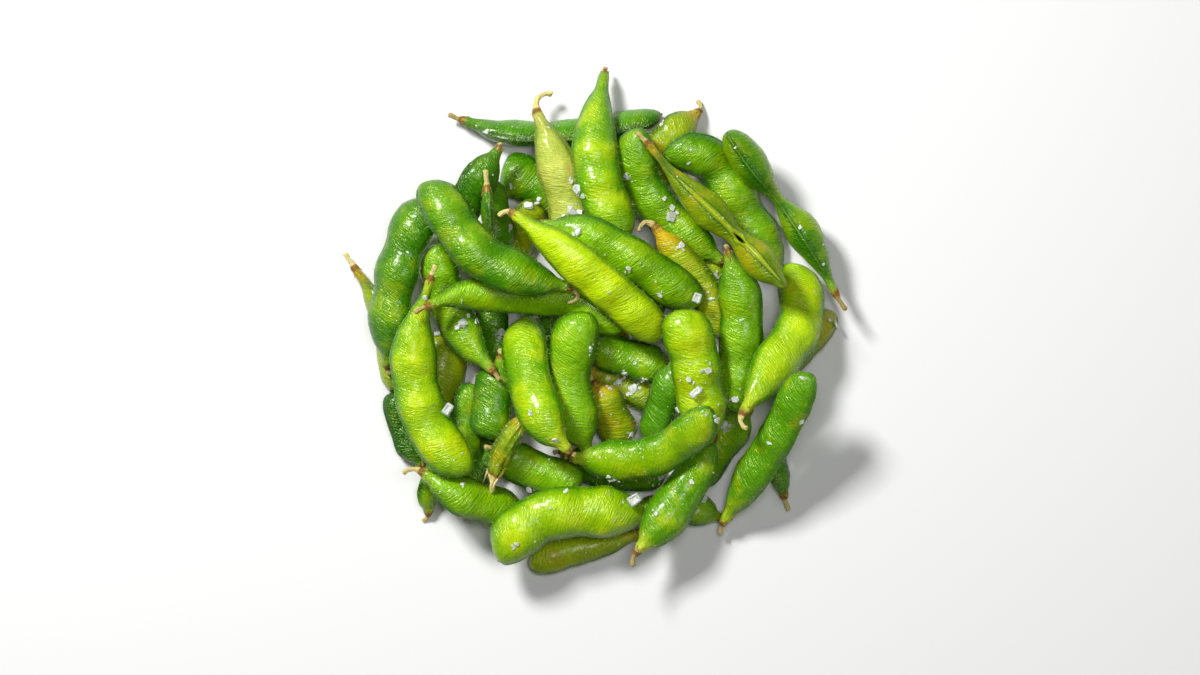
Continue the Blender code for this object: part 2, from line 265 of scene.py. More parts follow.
@dataclass(frozen=True)
class OpeningFinish:
    """The colours inside a seam that has split: its flesh, and painted shade that blackens its deep hole.
    """

    flesh: Colour = ink(146, 164, 16)
    hole_painted_shade: Colour = ink(6, 9, 2)


@dataclass(frozen=True)
class DryFinish:
    """The colours of the dry ends: the stalk, its cut, the calyx and a split tip."""

    stalk: Colour = ink(206, 186, 92)
    stalk_end: Colour = ink(240, 226, 170)
    calyx: Colour = ink(84, 44, 10)
    sepal: Colour = ink(150, 114, 38)
    husk: Colour = ink(150, 150, 50)


@dataclass(frozen=True)
class HairFinish:
    """The fine hairs: pale, with some browner ones."""

    pale: Colour = ink(190, 200, 120)
    brown: Colour = ink(150, 140, 70)
    roughness: float = 0.35


@dataclass(frozen=True)
class FloorFinish:
    """The plain, pale floor."""

    colour: Colour = (0.70, 0.70, 0.69, 1.0)
    roughness: float = 0.75


@dataclass(frozen=True)
class SaltFinish:
    """Coarse salt: white, slightly clear crystals."""

    colour: Colour = ink(246, 249, 244)
    cloudy: Colour = ink(208, 218, 202)
    roughness: float = 0.1
    clearness: float = 0.38
    refraction: float = 1.54


@dataclass(frozen=True)
class Gape:
    """A seam that has split open over part of a pod.

    Attributes:
        start: Where it opens, as a share of the pod's length.
        end: Where it closes, as a share of the pod's length.
        half_width: Half of the opening's width, in millimetres.
        depth: How deep the opening is, in millimetres.
        hole_at: Where the small hole is, as a share of the pod's length.
        hole_depth: How much deeper the hole is, in millimetres.
    """

    start: float
    end: float
    half_width: float = 0.85
    depth: float = 0.8
    hole_at: float = 0.66
    hole_depth: float = 2.4


@dataclass(frozen=True)
class Hollow:
    """A place where a pod is slimmer than its solid, as shares of its length and of its girth."""

    place: float
    depth: float
    spread: float


@dataclass(frozen=True)
class Habit:
    """What sets one pod apart from the others, in millimetres where it is a length.

    Attributes:
        beak: How far the tip is drawn out.
        lean: How far the tip leans to the upper seam, or to the lower one where it is below 0.
        rise: How far the end of the pod bends up.
        shade: How much lighter than its tone the skin is, or darker where it is below 0: partly the pod's
            own tone, partly painted light and painted shade for how brightly the pod is lit where it lies.
        neck_tint: How strongly the neck takes its own colour.
        neck_length: How far from the calyx that colour reaches.
        dry_tip: How long the dry part of the tip is.
        knobs: How far the stalk's knobs stand out.
        shrivel: How deep the folds of a shrivelled pod are.
        dryness: How far the stalk has browned, from 0, pale straw, to 1, brown.
        hollows: Where the pod is slimmer than its solid.
        gape: The opening, where a seam has split.
    """

    beak: float = 1.1
    lean: float = 0.45
    rise: float = 0.0
    shade: float = 0.0
    neck_tint: float = 0.65
    neck_length: float = 7.0
    dry_tip: float = 0.0
    knobs: float = 0.0
    shrivel: float = 0.0
    dryness: float = 0.5
    hollows: tuple[Hollow, ...] = ()
    gape: Gape | None = None


NARROW_NECK = Hollow(place=0.12, depth=0.35, spread=0.13)

HABITS = {
    "pod_01": Habit(dryness=0.9, lean=-0.3),
    "pod_02": Habit(dryness=0.15, hollows=(NARROW_NECK,)),
    "pod_03": Habit(beak=0.1, lean=0.2),
    "pod_33": Habit(
        shrivel=0.6,
        beak=3.6,
        lean=0.6,
        rise=4.4,
        dryness=0.3,
        dry_tip=6.0,
        hollows=(Hollow(0.95, 0.6, 0.16), Hollow(0.72, 0.2, 0.1), Hollow(0.2, 0.2, 0.2)),
    ),
    "pod_34": Habit(dryness=0.9),
    "pod_36": Habit(dryness=0.2, beak=1.6, lean=-0.3, hollows=(NARROW_NECK,)),
    "pod_38": Habit(dryness=0.6, neck_tint=0.95, neck_length=13.0, knobs=0.12),
    "pod_39": Habit(beak=1.8, lean=-0.5),
    "pod_40": Habit(dryness=0.1, shrivel=0.12, knobs=0.4),
    "pod_41": Habit(neck_tint=0.2),
    "pod_43": Habit(dryness=0.1),
    "pod_44": Habit(dryness=0.8),
    "pod_47": Habit(dryness=0.2),
    "pod_48": Habit(dryness=0.05, lean=-0.4),
    "pod_49": Habit(lean=0.3),
    "pod_50": Habit(dryness=1.0, beak=0.8, hollows=(Hollow(0.56, 0.22, 0.09), Hollow(0.1, 0.3, 0.12))),
    "pod_51": Habit(
        dryness=0.6,
        beak=2.0,
        hollows=(Hollow(0.13, 0.4, 0.14), Hollow(0.63, 0.2, 0.08), Hollow(0.97, 0.4, 0.08)),
        gape=Gape(start=0.22, end=0.97),
    ),
    "pod_53": Habit(beak=2.2, lean=-0.6),
    "pod_54": Habit(dryness=0.9, beak=4.0, lean=-0.1),
}

# How much lighter or darker than its tone each pod is, where it differs: partly the pod's own tone, and
# partly painted light and painted shade for how brightly it is lit where it lies in the heap.
TONES_AND_PAINTED_LIGHT = {
    "pod_01": 0.3, "pod_03": 0.7, "pod_06": -1.3, "pod_11": -0.6, "pod_14": 0.4, "pod_16": 0.5,
    "pod_17": 0.4, "pod_18": -0.4, "pod_22": -0.5, "pod_23": -0.3, "pod_24": 0.2, "pod_25": 0.3,
    "pod_26": 0.1, "pod_27": -0.1, "pod_28": -0.2, "pod_29": -1.0, "pod_30": 0.7, "pod_32": 0.5,
    "pod_33": -0.5, "pod_34": 0.1, "pod_35": -1.0, "pod_36": -0.1, "pod_37": -0.1, "pod_38": 0.1,
    "pod_39": -0.2, "pod_41": -0.6, "pod_42": 0.1, "pod_43": 0.2, "pod_44": 1.4, "pod_45": 0.5,
    "pod_46": 0.3, "pod_47": -0.6, "pod_48": 1.1, "pod_50": -0.4, "pod_51": -0.1, "pod_52": -1.8,
    "pod_53": -0.1, "pod_54": -1.3, "pod_55": -0.6, "pod_56": -0.5,
}


class Graph:
    """Adds nodes to one node tree, each with its inputs, in one call."""

    def __init__(self, tree: bpy.types.NodeTree) -> None:
        """Starts on a tree.

        Args:
            tree: The tree that the nodes go into.
        """
        self.tree = tree

    def add(self, kind: str, inputs: dict | None = None, **settings: object) -> bpy.types.Node:
        """Adds a node.

        Args:
            kind: The node's type name.
            inputs: Values or sockets for its inputs, by name or by index.
            **settings: The node's own properties.

        Returns:
            The new node.
        """
        node = self.tree.nodes.new(kind)
        for name, value in settings.items():
            setattr(node, name, value)
        for key, value in (inputs or {}).items():
            if isinstance(value, bpy.types.NodeSocket):
                self.tree.links.new(value, node.inputs[key])
            else:
                node.inputs[key].default_value = value
        return node

    def math(self, operation: str, *values: object, clamp: bool = False) -> bpy.types.NodeSocket:
        """Adds a Math node.

        Args:
            operation: What it does.
            *values: Its numbers or sockets.
            clamp: Whether the result is kept from 0 to 1.

        Returns:
            Its output.
        """
        node = self.add("ShaderNodeMath", dict(enumerate(values)), operation=operation, use_clamp=clamp)
        return node.outputs[0]

    def ramp(self, value: object, low: float, high: float, out: tuple[float, float] = (0.0, 1.0)) -> object:
        """Turns a range of values into a smooth step.

        Args:
            value: The socket to read.
            low: Where the step starts.
            high: Where it ends.
            out: The values before and after it.

        Returns:
            The step's output.
        """
        inputs = {"Value": value, "From Min": low, "From Max": high, "To Min": out[0], "To Max": out[1]}
        return self.add("ShaderNodeMapRange", inputs, interpolation_type="SMOOTHSTEP").outputs["Result"]

    def mix(self, factor: object, first: object, second: object, blend: str = "MIX") -> object:
        """Mixes two colours.

        Args:
            factor: How much of the second.
            first: The first colour or socket.
            second: The second colour or socket.
            blend: How they mix.

        Returns:
            The mixed colour's output.
        """
        inputs = {"Factor": factor, 6: first, 7: second}
        node = self.add("ShaderNodeMix", inputs, data_type="RGBA", blend_type=blend)
        return node.outputs[2]

    def attribute(self, name: str) -> bpy.types.NodeSocket:
        """Reads a number that a mesh stores at its points.

        Args:
            name: The attribute's name.

        Returns:
            Its value's output.
        """
        return self.add("ShaderNodeAttribute", attribute_name=name).outputs["Fac"]

    def place(self) -> bpy.types.NodeSocket:
        """Reads where a point is on the object, in metres."""
        return self.add("ShaderNodeTexCoord").outputs["Object"]

    def link(self, source: bpy.types.NodeSocket, target: bpy.types.NodeSocket) -> None:
        """Links two sockets."""
        self.tree.links.new(source, target)


def new_group(
    name: str, inputs: dict[str, str], outputs: dict[str, str], kind: str = "ShaderNodeTree"
) -> tuple:
    """Starts a node group.

    Args:
        name: The group's name.
        inputs: Socket types by name.
        outputs: Socket types by name.
        kind: The type of tree.

    Returns:
        The tree, its graph, its input node's outputs, and its output node.
    """
    tree = bpy.data.node_groups.new(name, kind)
    for socket, socket_type in inputs.items():
        tree.interface.new_socket(socket, in_out="INPUT", socket_type=socket_type)
    for socket, socket_type in outputs.items():
        tree.interface.new_socket(socket, in_out="OUTPUT", socket_type=socket_type)
    graph = Graph(tree)
    return tree, graph, graph.add("NodeGroupInput").outputs, graph.add("NodeGroupOutput")


class SharedEffects:
    """The shader groups that more than one material uses, each built once."""

    def __init__(self) -> None:
        """Builds the groups."""
        self.mottle = self._build_mottle()
        self.relief = self._build_relief()

    @staticmethod
    def _build_mottle() -> bpy.types.NodeTree:
        """Builds broad clouds, fine grain and small specks over a surface.

        Returns:
            The group, which reads a place in metres.
        """
        floats = "NodeSocketFloat"
        tree, graph, given, out = new_group(
            "Mottle",
            {"Place": "NodeSocketVector", "Cloud Size": floats, "Speck Size": floats},
            {"Clouds": floats, "Grain": floats, "Specks": floats},
        )
        scaled = {0: given["Place"], "Scale": 1 / MM}
        place = graph.add("ShaderNodeVectorMath", scaled, operation="SCALE").outputs[0]
        cloud_scale = graph.math("DIVIDE", 1.0, given["Cloud Size"])
        clouds = graph.add("ShaderNodeTexNoise", {"Vector": place, "Scale": cloud_scale, "Detail": 3.0})
        fine = {"Vector": place, "Scale": 2.6, "Detail": 4.0, "Roughness": 0.6}
        grain = graph.add("ShaderNodeTexNoise", fine)
        speck_scale = graph.math("DIVIDE", 1.0, given["Speck Size"])
        dots = {"Vector": place, "Scale": speck_scale, "Randomness": 1.0}
        specks = graph.add("ShaderNodeTexVoronoi", dots)
        near_speck = graph.ramp(specks.outputs["Distance"], 0.12, 0.26, (1.0, 0.0))
        graph.link(graph.ramp(clouds.outputs[0], 0.34, 0.68), out.inputs["Clouds"])
        graph.link(graph.ramp(grain.outputs[0], 0.3, 0.7), out.inputs["Grain"])
        graph.link(near_speck, out.inputs["Specks"])
        return tree

    @staticmethod
    def _build_relief() -> bpy.types.NodeTree:
        """Builds the fine creases that run across a pod, and the grain between them.

        Returns:
            The group, which reads distances along and around the pod in millimetres.
        """
        floats = "NodeSocketFloat"
        tree, graph, given, out = new_group(
            "Skin Relief",
            {"Course": "NodeSocketVector", "Spacing": floats, "Slant": floats},
            {"Height": floats},
        )
        split = graph.add("ShaderNodeSeparateXYZ", {0: given["Course"]})
        along, around = split.outputs[0], split.outputs[1]
        slanted = graph.math("ADD", along, graph.math("MULTIPLY", around, given["Slant"]))
        spaced = graph.math("DIVIDE", slanted, given["Spacing"])
        stretched = graph.math("MULTIPLY", around, 0.3)
        creases_at = graph.add("ShaderNodeCombineXYZ", {0: spaced, 1: stretched}).outputs[0]
        wavy = {"Scale": 1.0, "Detail": 1.0, "Roughness": 0.5, "Distortion": 0.5}
        creases = graph.add("ShaderNodeTexNoise", {"Vector": creases_at, **wavy})
        grain = graph.add("ShaderNodeTexNoise", {"Vector": given["Course"], "Scale": 1.5, "Detail": 2.0})
        dimples = graph.add("ShaderNodeTexNoise", {"Vector": given["Course"], "Scale": 0.45, "Detail": 1.0})
        height = graph.math("ADD", creases.outputs[0], graph.math("MULTIPLY", grain.outputs[0], 0.6))
        height = graph.math("ADD", height, graph.math("MULTIPLY", dimples.outputs[0], 0.8))
        graph.link(height, out.inputs["Height"])
        return tree


def blank_material(name: str) -> tuple[bpy.types.Material, Graph, bpy.types.Node]:
    """Starts a material.

    Args:
        name: The material's name.

    Returns:
        The material, its graph, and its Principled BSDF.
    """
    material = bpy.data.materials.new(name)
    material.use_nodes = True
    return material, Graph(material.node_tree), material.node_tree.nodes["Principled BSDF"]


class Finishes:
    """Every material of the bundle, each made once."""

    def __init__(self, effects: SharedEffects) -> None:
        """Makes the materials.

        Args:
            effects: The shader groups that they use.
        """
        self.effects = effects
        self.detail = SkinDetail()
        self.dry = DryFinish()
        self.pods = {tone: self._pod(tone, finish) for tone, finish in POD_FINISHES.items()}
        self.sepal = self._sepal()
        self.salt = self._salt(SaltFinish())
        self.hair = self._hair(HairFinish())
        self.husk = self._husk()
        self.floor = self._floor(FloorFinish())

    def _mottled(self, graph: Graph, cloud_size: float, speck_size: float) -> bpy.types.NodeOutputs:
        """Lays the shared mottle over a material.

        Args:
            graph: The material's graph.
            cloud_size: How large its clouds are, in millimetres.
            speck_size: How large its specks are.

        Returns:
            Its outputs: Clouds, Grain and Specks.
        """
        sizes = {"Place": graph.place(), "Cloud Size": cloud_size, "Speck Size": speck_size}
        return graph.add("ShaderNodeGroup", sizes, node_tree=self.effects.mottle).outputs

    @staticmethod
    def _surface(
        graph: Graph,
        shader: bpy.types.Node,
        colour: bpy.types.NodeSocket,
        grain: bpy.types.NodeSocket,
        rough: tuple[float, float],
        bump: tuple[float, float],
    ) -> None:
        """Gives a shader its colour, and a roughness and a relief that follow its grain.

        Args:
            graph: The material's graph.
            shader: Its Principled BSDF.
            colour: Its colour.
            grain: Its grain.
            rough: Its roughness, and how far the grain adds to it.
            bump: The strength of its relief, and the depth in metres.
        """
        graph.link(colour, shader.inputs["Base Color"])
        graph.link(graph.math("MULTIPLY_ADD", grain, rough[1], rough[0]), shader.inputs["Roughness"])
        relief = graph.add("ShaderNodeBump", {"Height": grain, "Strength": bump[0], "Distance": bump[1]})
        graph.link(relief.outputs[0], shader.inputs["Normal"])

    def _pod(self, tone: Tone, finish: PodFinish) -> bpy.types.Material:
        """Makes one tone of pod skin, which reads the values that a pod's mesh stores.

        Args:
            tone: The tone.
            finish: Its colours and gloss.

        Returns:
            The material.
        """
        material, graph, shader = blank_material(tone.value)
        detail = self.detail
        course = graph.add("ShaderNodeUVMap", uv_map="course").outputs[0]
        mottle = self._mottled(graph, detail.cloud_size, detail.speck_size)
        grain, dry = mottle["Grain"], graph.attribute("dry")
        creases = {"Course": course, "Spacing": detail.crease_spacing, "Slant": detail.crease_slant}
        height = graph.add("ShaderNodeGroup", creases, node_tree=self.effects.relief).outputs["Height"]
        graph.link(self._skin_colour(graph, finish, mottle, height), shader.inputs["Base Color"])

        wet = self._water(graph, course, dry, finish.wetness)
        rough = graph.math("MULTIPLY_ADD", grain, detail.grain_roughness, finish.roughness)
        rough = graph.math("MULTIPLY_ADD", wet, -detail.wet_smoothing, rough)
        rough = graph.math("MULTIPLY_ADD", graph.ramp(dry, 0.1, 0.5), detail.dry_roughness, rough)
        graph.link(rough, shader.inputs["Roughness"])
        graph.link(graph.math("MULTIPLY", wet, detail.water), shader.inputs["Coat Weight"])
        for socket, value in SKIN_SHADER.items():
            shader.inputs[socket].default_value = value
        relief = {"Height": height, "Strength": 1.0, "Distance": detail.crease_depth}
        graph.link(graph.add("ShaderNodeBump", relief).outputs[0], shader.inputs["Normal"])
        return material

    def _skin_colour(
        self, graph: Graph, finish: PodFinish, mottle: bpy.types.NodeOutputs, height: bpy.types.NodeSocket
    ) -> bpy.types.NodeSocket:
        """Colours the skin, with its creases and seams, a split seam's inside and the dry ends, and paints
        light and shade: over each pod as a whole, on the creases' crests and troughs, along the edges and
        in a split seam's hole.

        Args:
            graph: The material's graph.
            finish: The tone's colours.
            mottle: The mottle's outputs.
            height: The height of the fine creases.

        Returns:
            The colour.
        """
        detail, opening = self.detail, OpeningFinish()
        clouds, grain = mottle["Clouds"], mottle["Grain"]
        from_seam, inside, dry = (graph.attribute(name) for name in ("from_seam", "inside", "dry"))
        # Where the split is deepest, in its hole, the flesh turns near black: painted shade.
        flesh = graph.mix(graph.ramp(inside, 1.02, 1.16), opening.flesh, opening.hole_painted_shade)
        on_crown = graph.math("MULTIPLY", graph.attribute("crown"), detail.crown)
        lit = graph.math("ADD", on_crown, graph.math("MULTIPLY", clouds, detail.clouds))
        # Each pod's own value lightens or darkens its skin: partly its tone, partly painted light and
        # painted shade.
        lit = graph.math("MULTIPLY_ADD", graph.attribute("shade"), detail.shade, lit)
        lit = graph.math("SUBTRACT", lit, detail.darkening, clamp=True)
        colour = graph.mix(lit, finish.flank, finish.crown)
        layers = (
            (graph.math("MULTIPLY", graph.ramp(clouds, 0.62, 1.0), finish.blotching), finish.blotch),
            (graph.math("MULTIPLY", grain, detail.grain), finish.seam),
            (graph.math("MULTIPLY", mottle["Specks"], detail.specks), finish.neck),
            # Painted highlights on the crests of the fine creases, and painted shade in their troughs.
            (graph.ramp(height, 1.15, 1.65, (0.0, detail.crest_painted_highlight)), finish.crown),
            (graph.ramp(height, 0.95, 1.3, (detail.trough_painted_shade, 0.0)), finish.seam),
            # A dark suture line along each seam, widened into painted shade along the pod's edges.
            (graph.ramp(from_seam, 0.2, 2.2, (detail.seam, 0.0)), finish.seam),
            (graph.ramp(from_seam, 0.1, 0.3, (detail.ridge, 0.0)), finish.neck),
            (graph.attribute("neck"), finish.neck),
            (graph.ramp(inside, 0.0, 0.5), flesh),
            (graph.ramp(dry, 0.0, 0.5), graph.mix(grain, self.dry.calyx, self.dry.sepal)),
            (graph.ramp(dry, 0.6, 1.0), graph.mix(grain, self.dry.stalk, self.dry.stalk_end)),
        )
        for share, over in layers:
            colour = graph.mix(share, colour, over)
        return colour

    @staticmethod
    def _water(
        graph: Graph, course: bpy.types.NodeSocket, dry: bpy.types.NodeSocket, wetness: float
    ) -> bpy.types.NodeSocket:
        """Spreads the water over a pod in patches, with none on the dry ends.

        Args:
            graph: The material's graph.
            course: Distances along and around the pod.
            dry: How dry each place is.
            wetness: How much water there is.

        Returns:
            How wet each place is.
        """
        stretch = {0: course, 1: (1.5, 0.5, 1.0)}
        stretched = graph.add("ShaderNodeVectorMath", stretch, operation="MULTIPLY").outputs[0]
        patchy = {"Vector": stretched, "Scale": 1.0, "Detail": 2.0, "Roughness": 0.65}
        patches = graph.add("ShaderNodeTexNoise", patchy).outputs[0]
        wet = graph.ramp(patches, 0.37, 0.56, (0.0, wetness))
        return graph.math("MULTIPLY", graph.ramp(dry, 0.1, 0.5, (1.0, 0.0)), wet)

    def _sepal(self) -> bpy.types.Material:
        """Makes the dry, brown material of the calyx's sepals.

        Returns:
            The material.
        """
        material, graph, shader = blank_material("dry_sepal")
        mottle = self._mottled(graph, cloud_size=2.0, speck_size=0.7)
        colour = graph.mix(mottle["Clouds"], self.dry.calyx, self.dry.stalk)
        colour = graph.mix(mottle["Grain"], colour, self.dry.sepal)
        self._surface(graph, shader, colour, mottle["Grain"], rough=(0.5, 0.2), bump=(0.8, 0.00012))
        return material

    def _salt(self, finish: SaltFinish) -> bpy.types.Material:
        """Makes the crystals' material.

        Args:
            finish: Its colours and clearness.

        Returns:
            The material.
        """
        material, graph, shader = blank_material("salt_crystal")
        mottle = self._mottled(graph, cloud_size=0.9, speck_size=0.5)
        colour = graph.mix(mottle["Clouds"], finish.colour, finish.cloudy)
        rough, bump = (finish.roughness, 0.25), (0.5, 0.00008)
        self._surface(graph, shader, colour, mottle["Grain"], rough, bump)
        shader.inputs["Transmission Weight"].default_value = finish.clearness
        shader.inputs["IOR"].default_value = finish.refraction
        return material

    def _husk(self) -> bpy.types.Material:
        """Makes the dry, straw-coloured material of a split tip.

        Returns:
            The material.
        """
        material, graph, shader = blank_material("dry_husk")
        strands = {"Vector": graph.place(), "Scale": 1800.0, "Detail": 3.0}
        fibres = graph.add("ShaderNodeTexNoise", strands).outputs[0]
        colour = graph.mix(fibres, self.dry.husk, self.dry.stalk_end)
        self._surface(graph, shader, colour, fibres, rough=(0.45, 0.2), bump=(0.6, 0.0002))
        return material

    @staticmethod
    def _hair(finish: HairFinish) -> bpy.types.Material:
        """Makes the material of the pods' fine hairs.

        Args:
            finish: Its colours and roughness.

        Returns:
            The material.
        """
        material, graph, shader = blank_material("fine_hair")
        noise = graph.add("ShaderNodeTexNoise", {"Vector": graph.place(), "Scale": 90.0})
        colour = graph.mix(noise.outputs[0], finish.pale, finish.brown)
        graph.link(colour, shader.inputs["Base Color"])
        shader.inputs["Roughness"].default_value = finish.roughness
        return material

    @staticmethod
    def _floor(finish: FloorFinish) -> bpy.types.Material:
        """Makes the floor's material.

        Args:
            finish: Its colour and roughness.

        Returns:
            The material.
        """
        material, _, shader = blank_material("pale_floor")
        shader.inputs["Base Color"].default_value = finish.colour
        shader.inputs["Roughness"].default_value = finish.roughness
        return material


def follow(knots: np.ndarray, values: np.ndarray, at: np.ndarray, limited: bool = False) -> np.ndarray:
    """Reads a smooth curve through values at knots.

    Args:
        knots: Rising distances.
        values: One row for each knot.
        at: The distances to read at.
        limited: Whether the curve keeps between the values on either side, with no overshoot.

    Returns:
        One row for each distance.
    """
    step = np.diff(knots)[:, None]
    slope = np.diff(values, axis=0) / step
    if limited:
        product = slope[1:] * slope[:-1]
        total = slope[1:] + slope[:-1]
        middle = np.where(product > 0, 2 * product / np.where(total == 0, 1, total), 0)
    else:
        middle = (slope[1:] * step[:-1] + slope[:-1] * step[1:]) / (step[1:] + step[:-1])
    tangent = np.vstack([slope[:1], middle, slope[-1:]])
    span = np.clip(np.searchsorted(knots, at, side="right") - 1, 0, len(knots) - 2)
    width = step[span]
    t = (at[:, None] - knots[span, None]) / width
    start, end = values[span], values[span + 1]
    return (
        (2 * t**3 - 3 * t**2 + 1) * start
        + (t**3 - 2 * t**2 + t) * width * tangent[span]
        + (3 * t**2 - 2 * t**3) * end
        + (t**3 - t**2) * width * tangent[span + 1]
    )


def unit(vectors: np.ndarray) -> np.ndarray:
    """Gives vectors a length of 1.

    Args:
        vectors: One or more rows.

    Returns:
        The same rows at length 1.
    """
    return vectors / np.linalg.norm(vectors, axis=-1, keepdims=True)


def swell(values: np.ndarray, middle: float, spread: float) -> np.ndarray:
    """Gives a soft hump.

    Args:
        values: Where to read it.
        middle: Where it is highest.
        spread: How far it reaches.

    Returns:
        1 at its middle, falling to 0.
    """
    return np.exp(-(((values - middle) / spread) ** 2))


def step_up(values: np.ndarray, low: float, high: float) -> np.ndarray:
    """Gives a smooth step.

    Args:
        values: Where to read it.
        low: Where it starts.
        high: Where it ends.

    Returns:
        0 before it and 1 after it.
    """
    share = np.clip((values - low) / (high - low), 0, 1)
    return share * share * (3 - 2 * share)


def smooth_noise(random: np.random.Generator, x: np.ndarray, y: np.ndarray) -> np.ndarray:
    """Reads smooth noise whose cells are one unit wide.

    Args:
        random: Where its values come from.
        x: Places along the first axis.
        y: Places along the second axis.

    Returns:
        Values from -1 to 1.
    """
    x, y = np.broadcast_arrays(x, y)
    table = random.uniform(-1, 1, (64, 64))
    column, row = np.floor(x).astype(int), np.floor(y).astype(int)
    u, v = x - column, y - row
    u, v = u * u * (3 - 2 * u), v * v * (3 - 2 * v)
    near = table[column % 64, row % 64] * (1 - u) + table[(column + 1) % 64, row % 64] * u
    far = table[column % 64, (row + 1) % 64] * (1 - u) + table[(column + 1) % 64, (row + 1) % 64] * u
    return near * (1 - v) + far * v


def worked_mesh(bm: bmesh.types.BMesh, name: str) -> bpy.types.Mesh:
    """Turns what has been worked on into a mesh, and frees it.

    Args:
        bm: What has been worked on.
        name: The mesh's name.

    Returns:
        The mesh.
    """
    mesh = bpy.data.meshes.new(name)
    bm.to_mesh(mesh)
    bm.free()
    return mesh


def in_scene(mesh: bpy.types.Mesh, name: str) -> bpy.types.Object:
    """Puts a mesh into the scene.

    Args:
        mesh: The mesh.
        name: Its object's name.

    Returns:
        The object.
    """
    piece = bpy.data.objects.new(name, mesh)
    bpy.context.scene.collection.objects.link(piece)
    return piece


def look_down(tree: BVHTree, x: float, y: float, top: float) -> tuple[Vector | None, Vector | None]:
    """Finds what is seen from above at a place.

    Args:
        tree: The heap.
        x: The place across.
        y: The place along.
        top: The heap's highest point.

    Returns:
        The highest point there and the direction that the surface faces, or nothing.
    """
    hit, normal, _, _ = tree.ray_cast(Vector((x, y, top + RAY_START)), DOWN)
    return hit, normal


@dataclass
class Rings:
    """The rings that a pod's solid is built from, from its stalk's end to its tip, in millimetres.

    Attributes:
        centre: The middle of each ring.
        seam: The direction from each ring's middle to the upper seam.
        half_width: From the middle to a seam.
        half_thickness: From the middle to a flat side.
        calyx: Which ring is the calyx.
        beans: Which rings are the beans' middles.
        ends: The stalk's end and the tip.
    """

    SIDES = 12
    CALYX_RING = 3
    FIRST_BEAN_RING = 6
    RINGS_BESIDE_BEANS = 7

    centre: np.ndarray
    seam: np.ndarray
    half_width: np.ndarray
    half_thickness: np.ndarray
    ends: np.ndarray
    calyx: int
    beans: list[int]

    @classmethod
    def read(cls, node: bpy.types.Object) -> "Rings":
        """Reads the rings of a pod's solid.

        Args:
            node: The solid.

        Returns:
            Its rings.
        """
        bm = bmesh.new()
        bm.from_mesh(node.data)
        bmesh.ops.remove_doubles(bm, verts=bm.verts, dist=WELD)
        bm.verts.index_update()
        poles = sorted(bm.verts, key=lambda v: -len(v.link_edges))[:2]
        rings = [np.array([np.array(v.co) / MM for v in ring]) for ring in cls._between(*poles)]
        ends = np.array([poles[0].co, poles[1].co]) / MM
        count = round((len(bm.verts) - 2) / cls.SIDES)
        bm.free()
        if np.ptp(rings[1], axis=0).max() > np.ptp(rings[-2], axis=0).max():
            rings, ends = rings[::-1], ends[::-1]
        return cls._measured(rings, ends, count)

    @classmethod
    def _between(cls, first: bmesh.types.BMVert, last: bmesh.types.BMVert) -> list:
        """Collects the rings from one pole to the other.

        Args:
            first: One pole.
            last: The other.

        Returns:
            The rings in order. One that the flat underside has cut points from is left out.
        """

        def outward(pole: bmesh.types.BMVert) -> list:
            """Collects whole rings outward from a pole."""
            seen, layer, rings = {pole.index}, [pole], []
            while True:
                near = {e.other_vert(v).index: e.other_vert(v) for v in layer for e in v.link_edges}
                layer = [near[index] for index in sorted(near) if index not in seen]
                if len(layer) != cls.SIDES or first in layer or last in layer:
                    return rings
                seen.update(v.index for v in layer)
                rings.append(layer)

        ahead, behind = outward(first), outward(last)
        found = {v.index for ring in ahead for v in ring}
        rest = [ring for ring in behind if ring[0].index not in found]
        return ahead + rest[::-1]

    @classmethod
    def _measured(cls, rings: list[np.ndarray], ends: np.ndarray, count: int) -> "Rings":
        """Measures rings.

        Args:
            rings: The points of each ring.
            ends: The stalk's end and the tip.
            count: How many rings the solid was built with.

        Returns:
            The measured rings.
        """
        centre = np.array([ring.mean(axis=0) for ring in rings])
        reach = [np.linalg.norm(ring - middle, axis=1) for ring, middle in zip(rings, centre)]
        widest = max(range(len(rings)), key=lambda k: reach[k].max())
        outer = rings[widest][np.argsort(reach[widest])[-2:]] - centre[widest]
        seam = np.zeros_like(centre)
        seam[widest] = unit(outer[np.argmax(outer[:, 2])])
        for order in (range(widest + 1, len(rings)), range(widest - 1, -1, -1)):
            before = widest
            for k in order:
                spokes = unit(rings[k] - centre[k])
                seam[k] = spokes[np.argmax(spokes @ seam[before])]
                before = k
        forward = unit(np.gradient(centre, axis=0))
        flat = unit(np.cross(forward, seam))
        half_width, half_thickness = np.zeros(len(rings)), np.zeros(len(rings))
        for k, ring in enumerate(rings):
            across = (ring - centre[k]) @ seam[k]
            through = (ring - centre[k]) @ flat[k]
            half_width[k], half_thickness[k] = np.ptp(across) / 2, np.ptp(through) / 2
            off_seam, off_flat = across.max() + across.min(), through.max() + through.min()
            centre[k] += seam[k] * off_seam / 2 + flat[k] * off_flat / 2
        lost = count - len(rings)
        bean_count = (count - cls.RINGS_BESIDE_BEANS) // 2
        beans = [cls.FIRST_BEAN_RING + 2 * k for k in range(bean_count)]
        beans = [min(k, len(rings) - 1 - lost) for k in beans]
        return cls(centre, seam, half_width, half_thickness, ends, cls.CALYX_RING, beans)

    def course(self) -> np.ndarray:
        """Gives the middle line: the stalk's end, every ring's middle and the tip."""
        return np.vstack([self.ends[:1], self.centre, self.ends[1:]])

    def knots(self) -> np.ndarray:
        """Measures how far along the pod each point of its course is, from 0 at the stalk's end."""
        steps = np.linalg.norm(np.diff(self.course(), axis=0), axis=1)
        return np.concatenate([[0], np.cumsum(steps)])


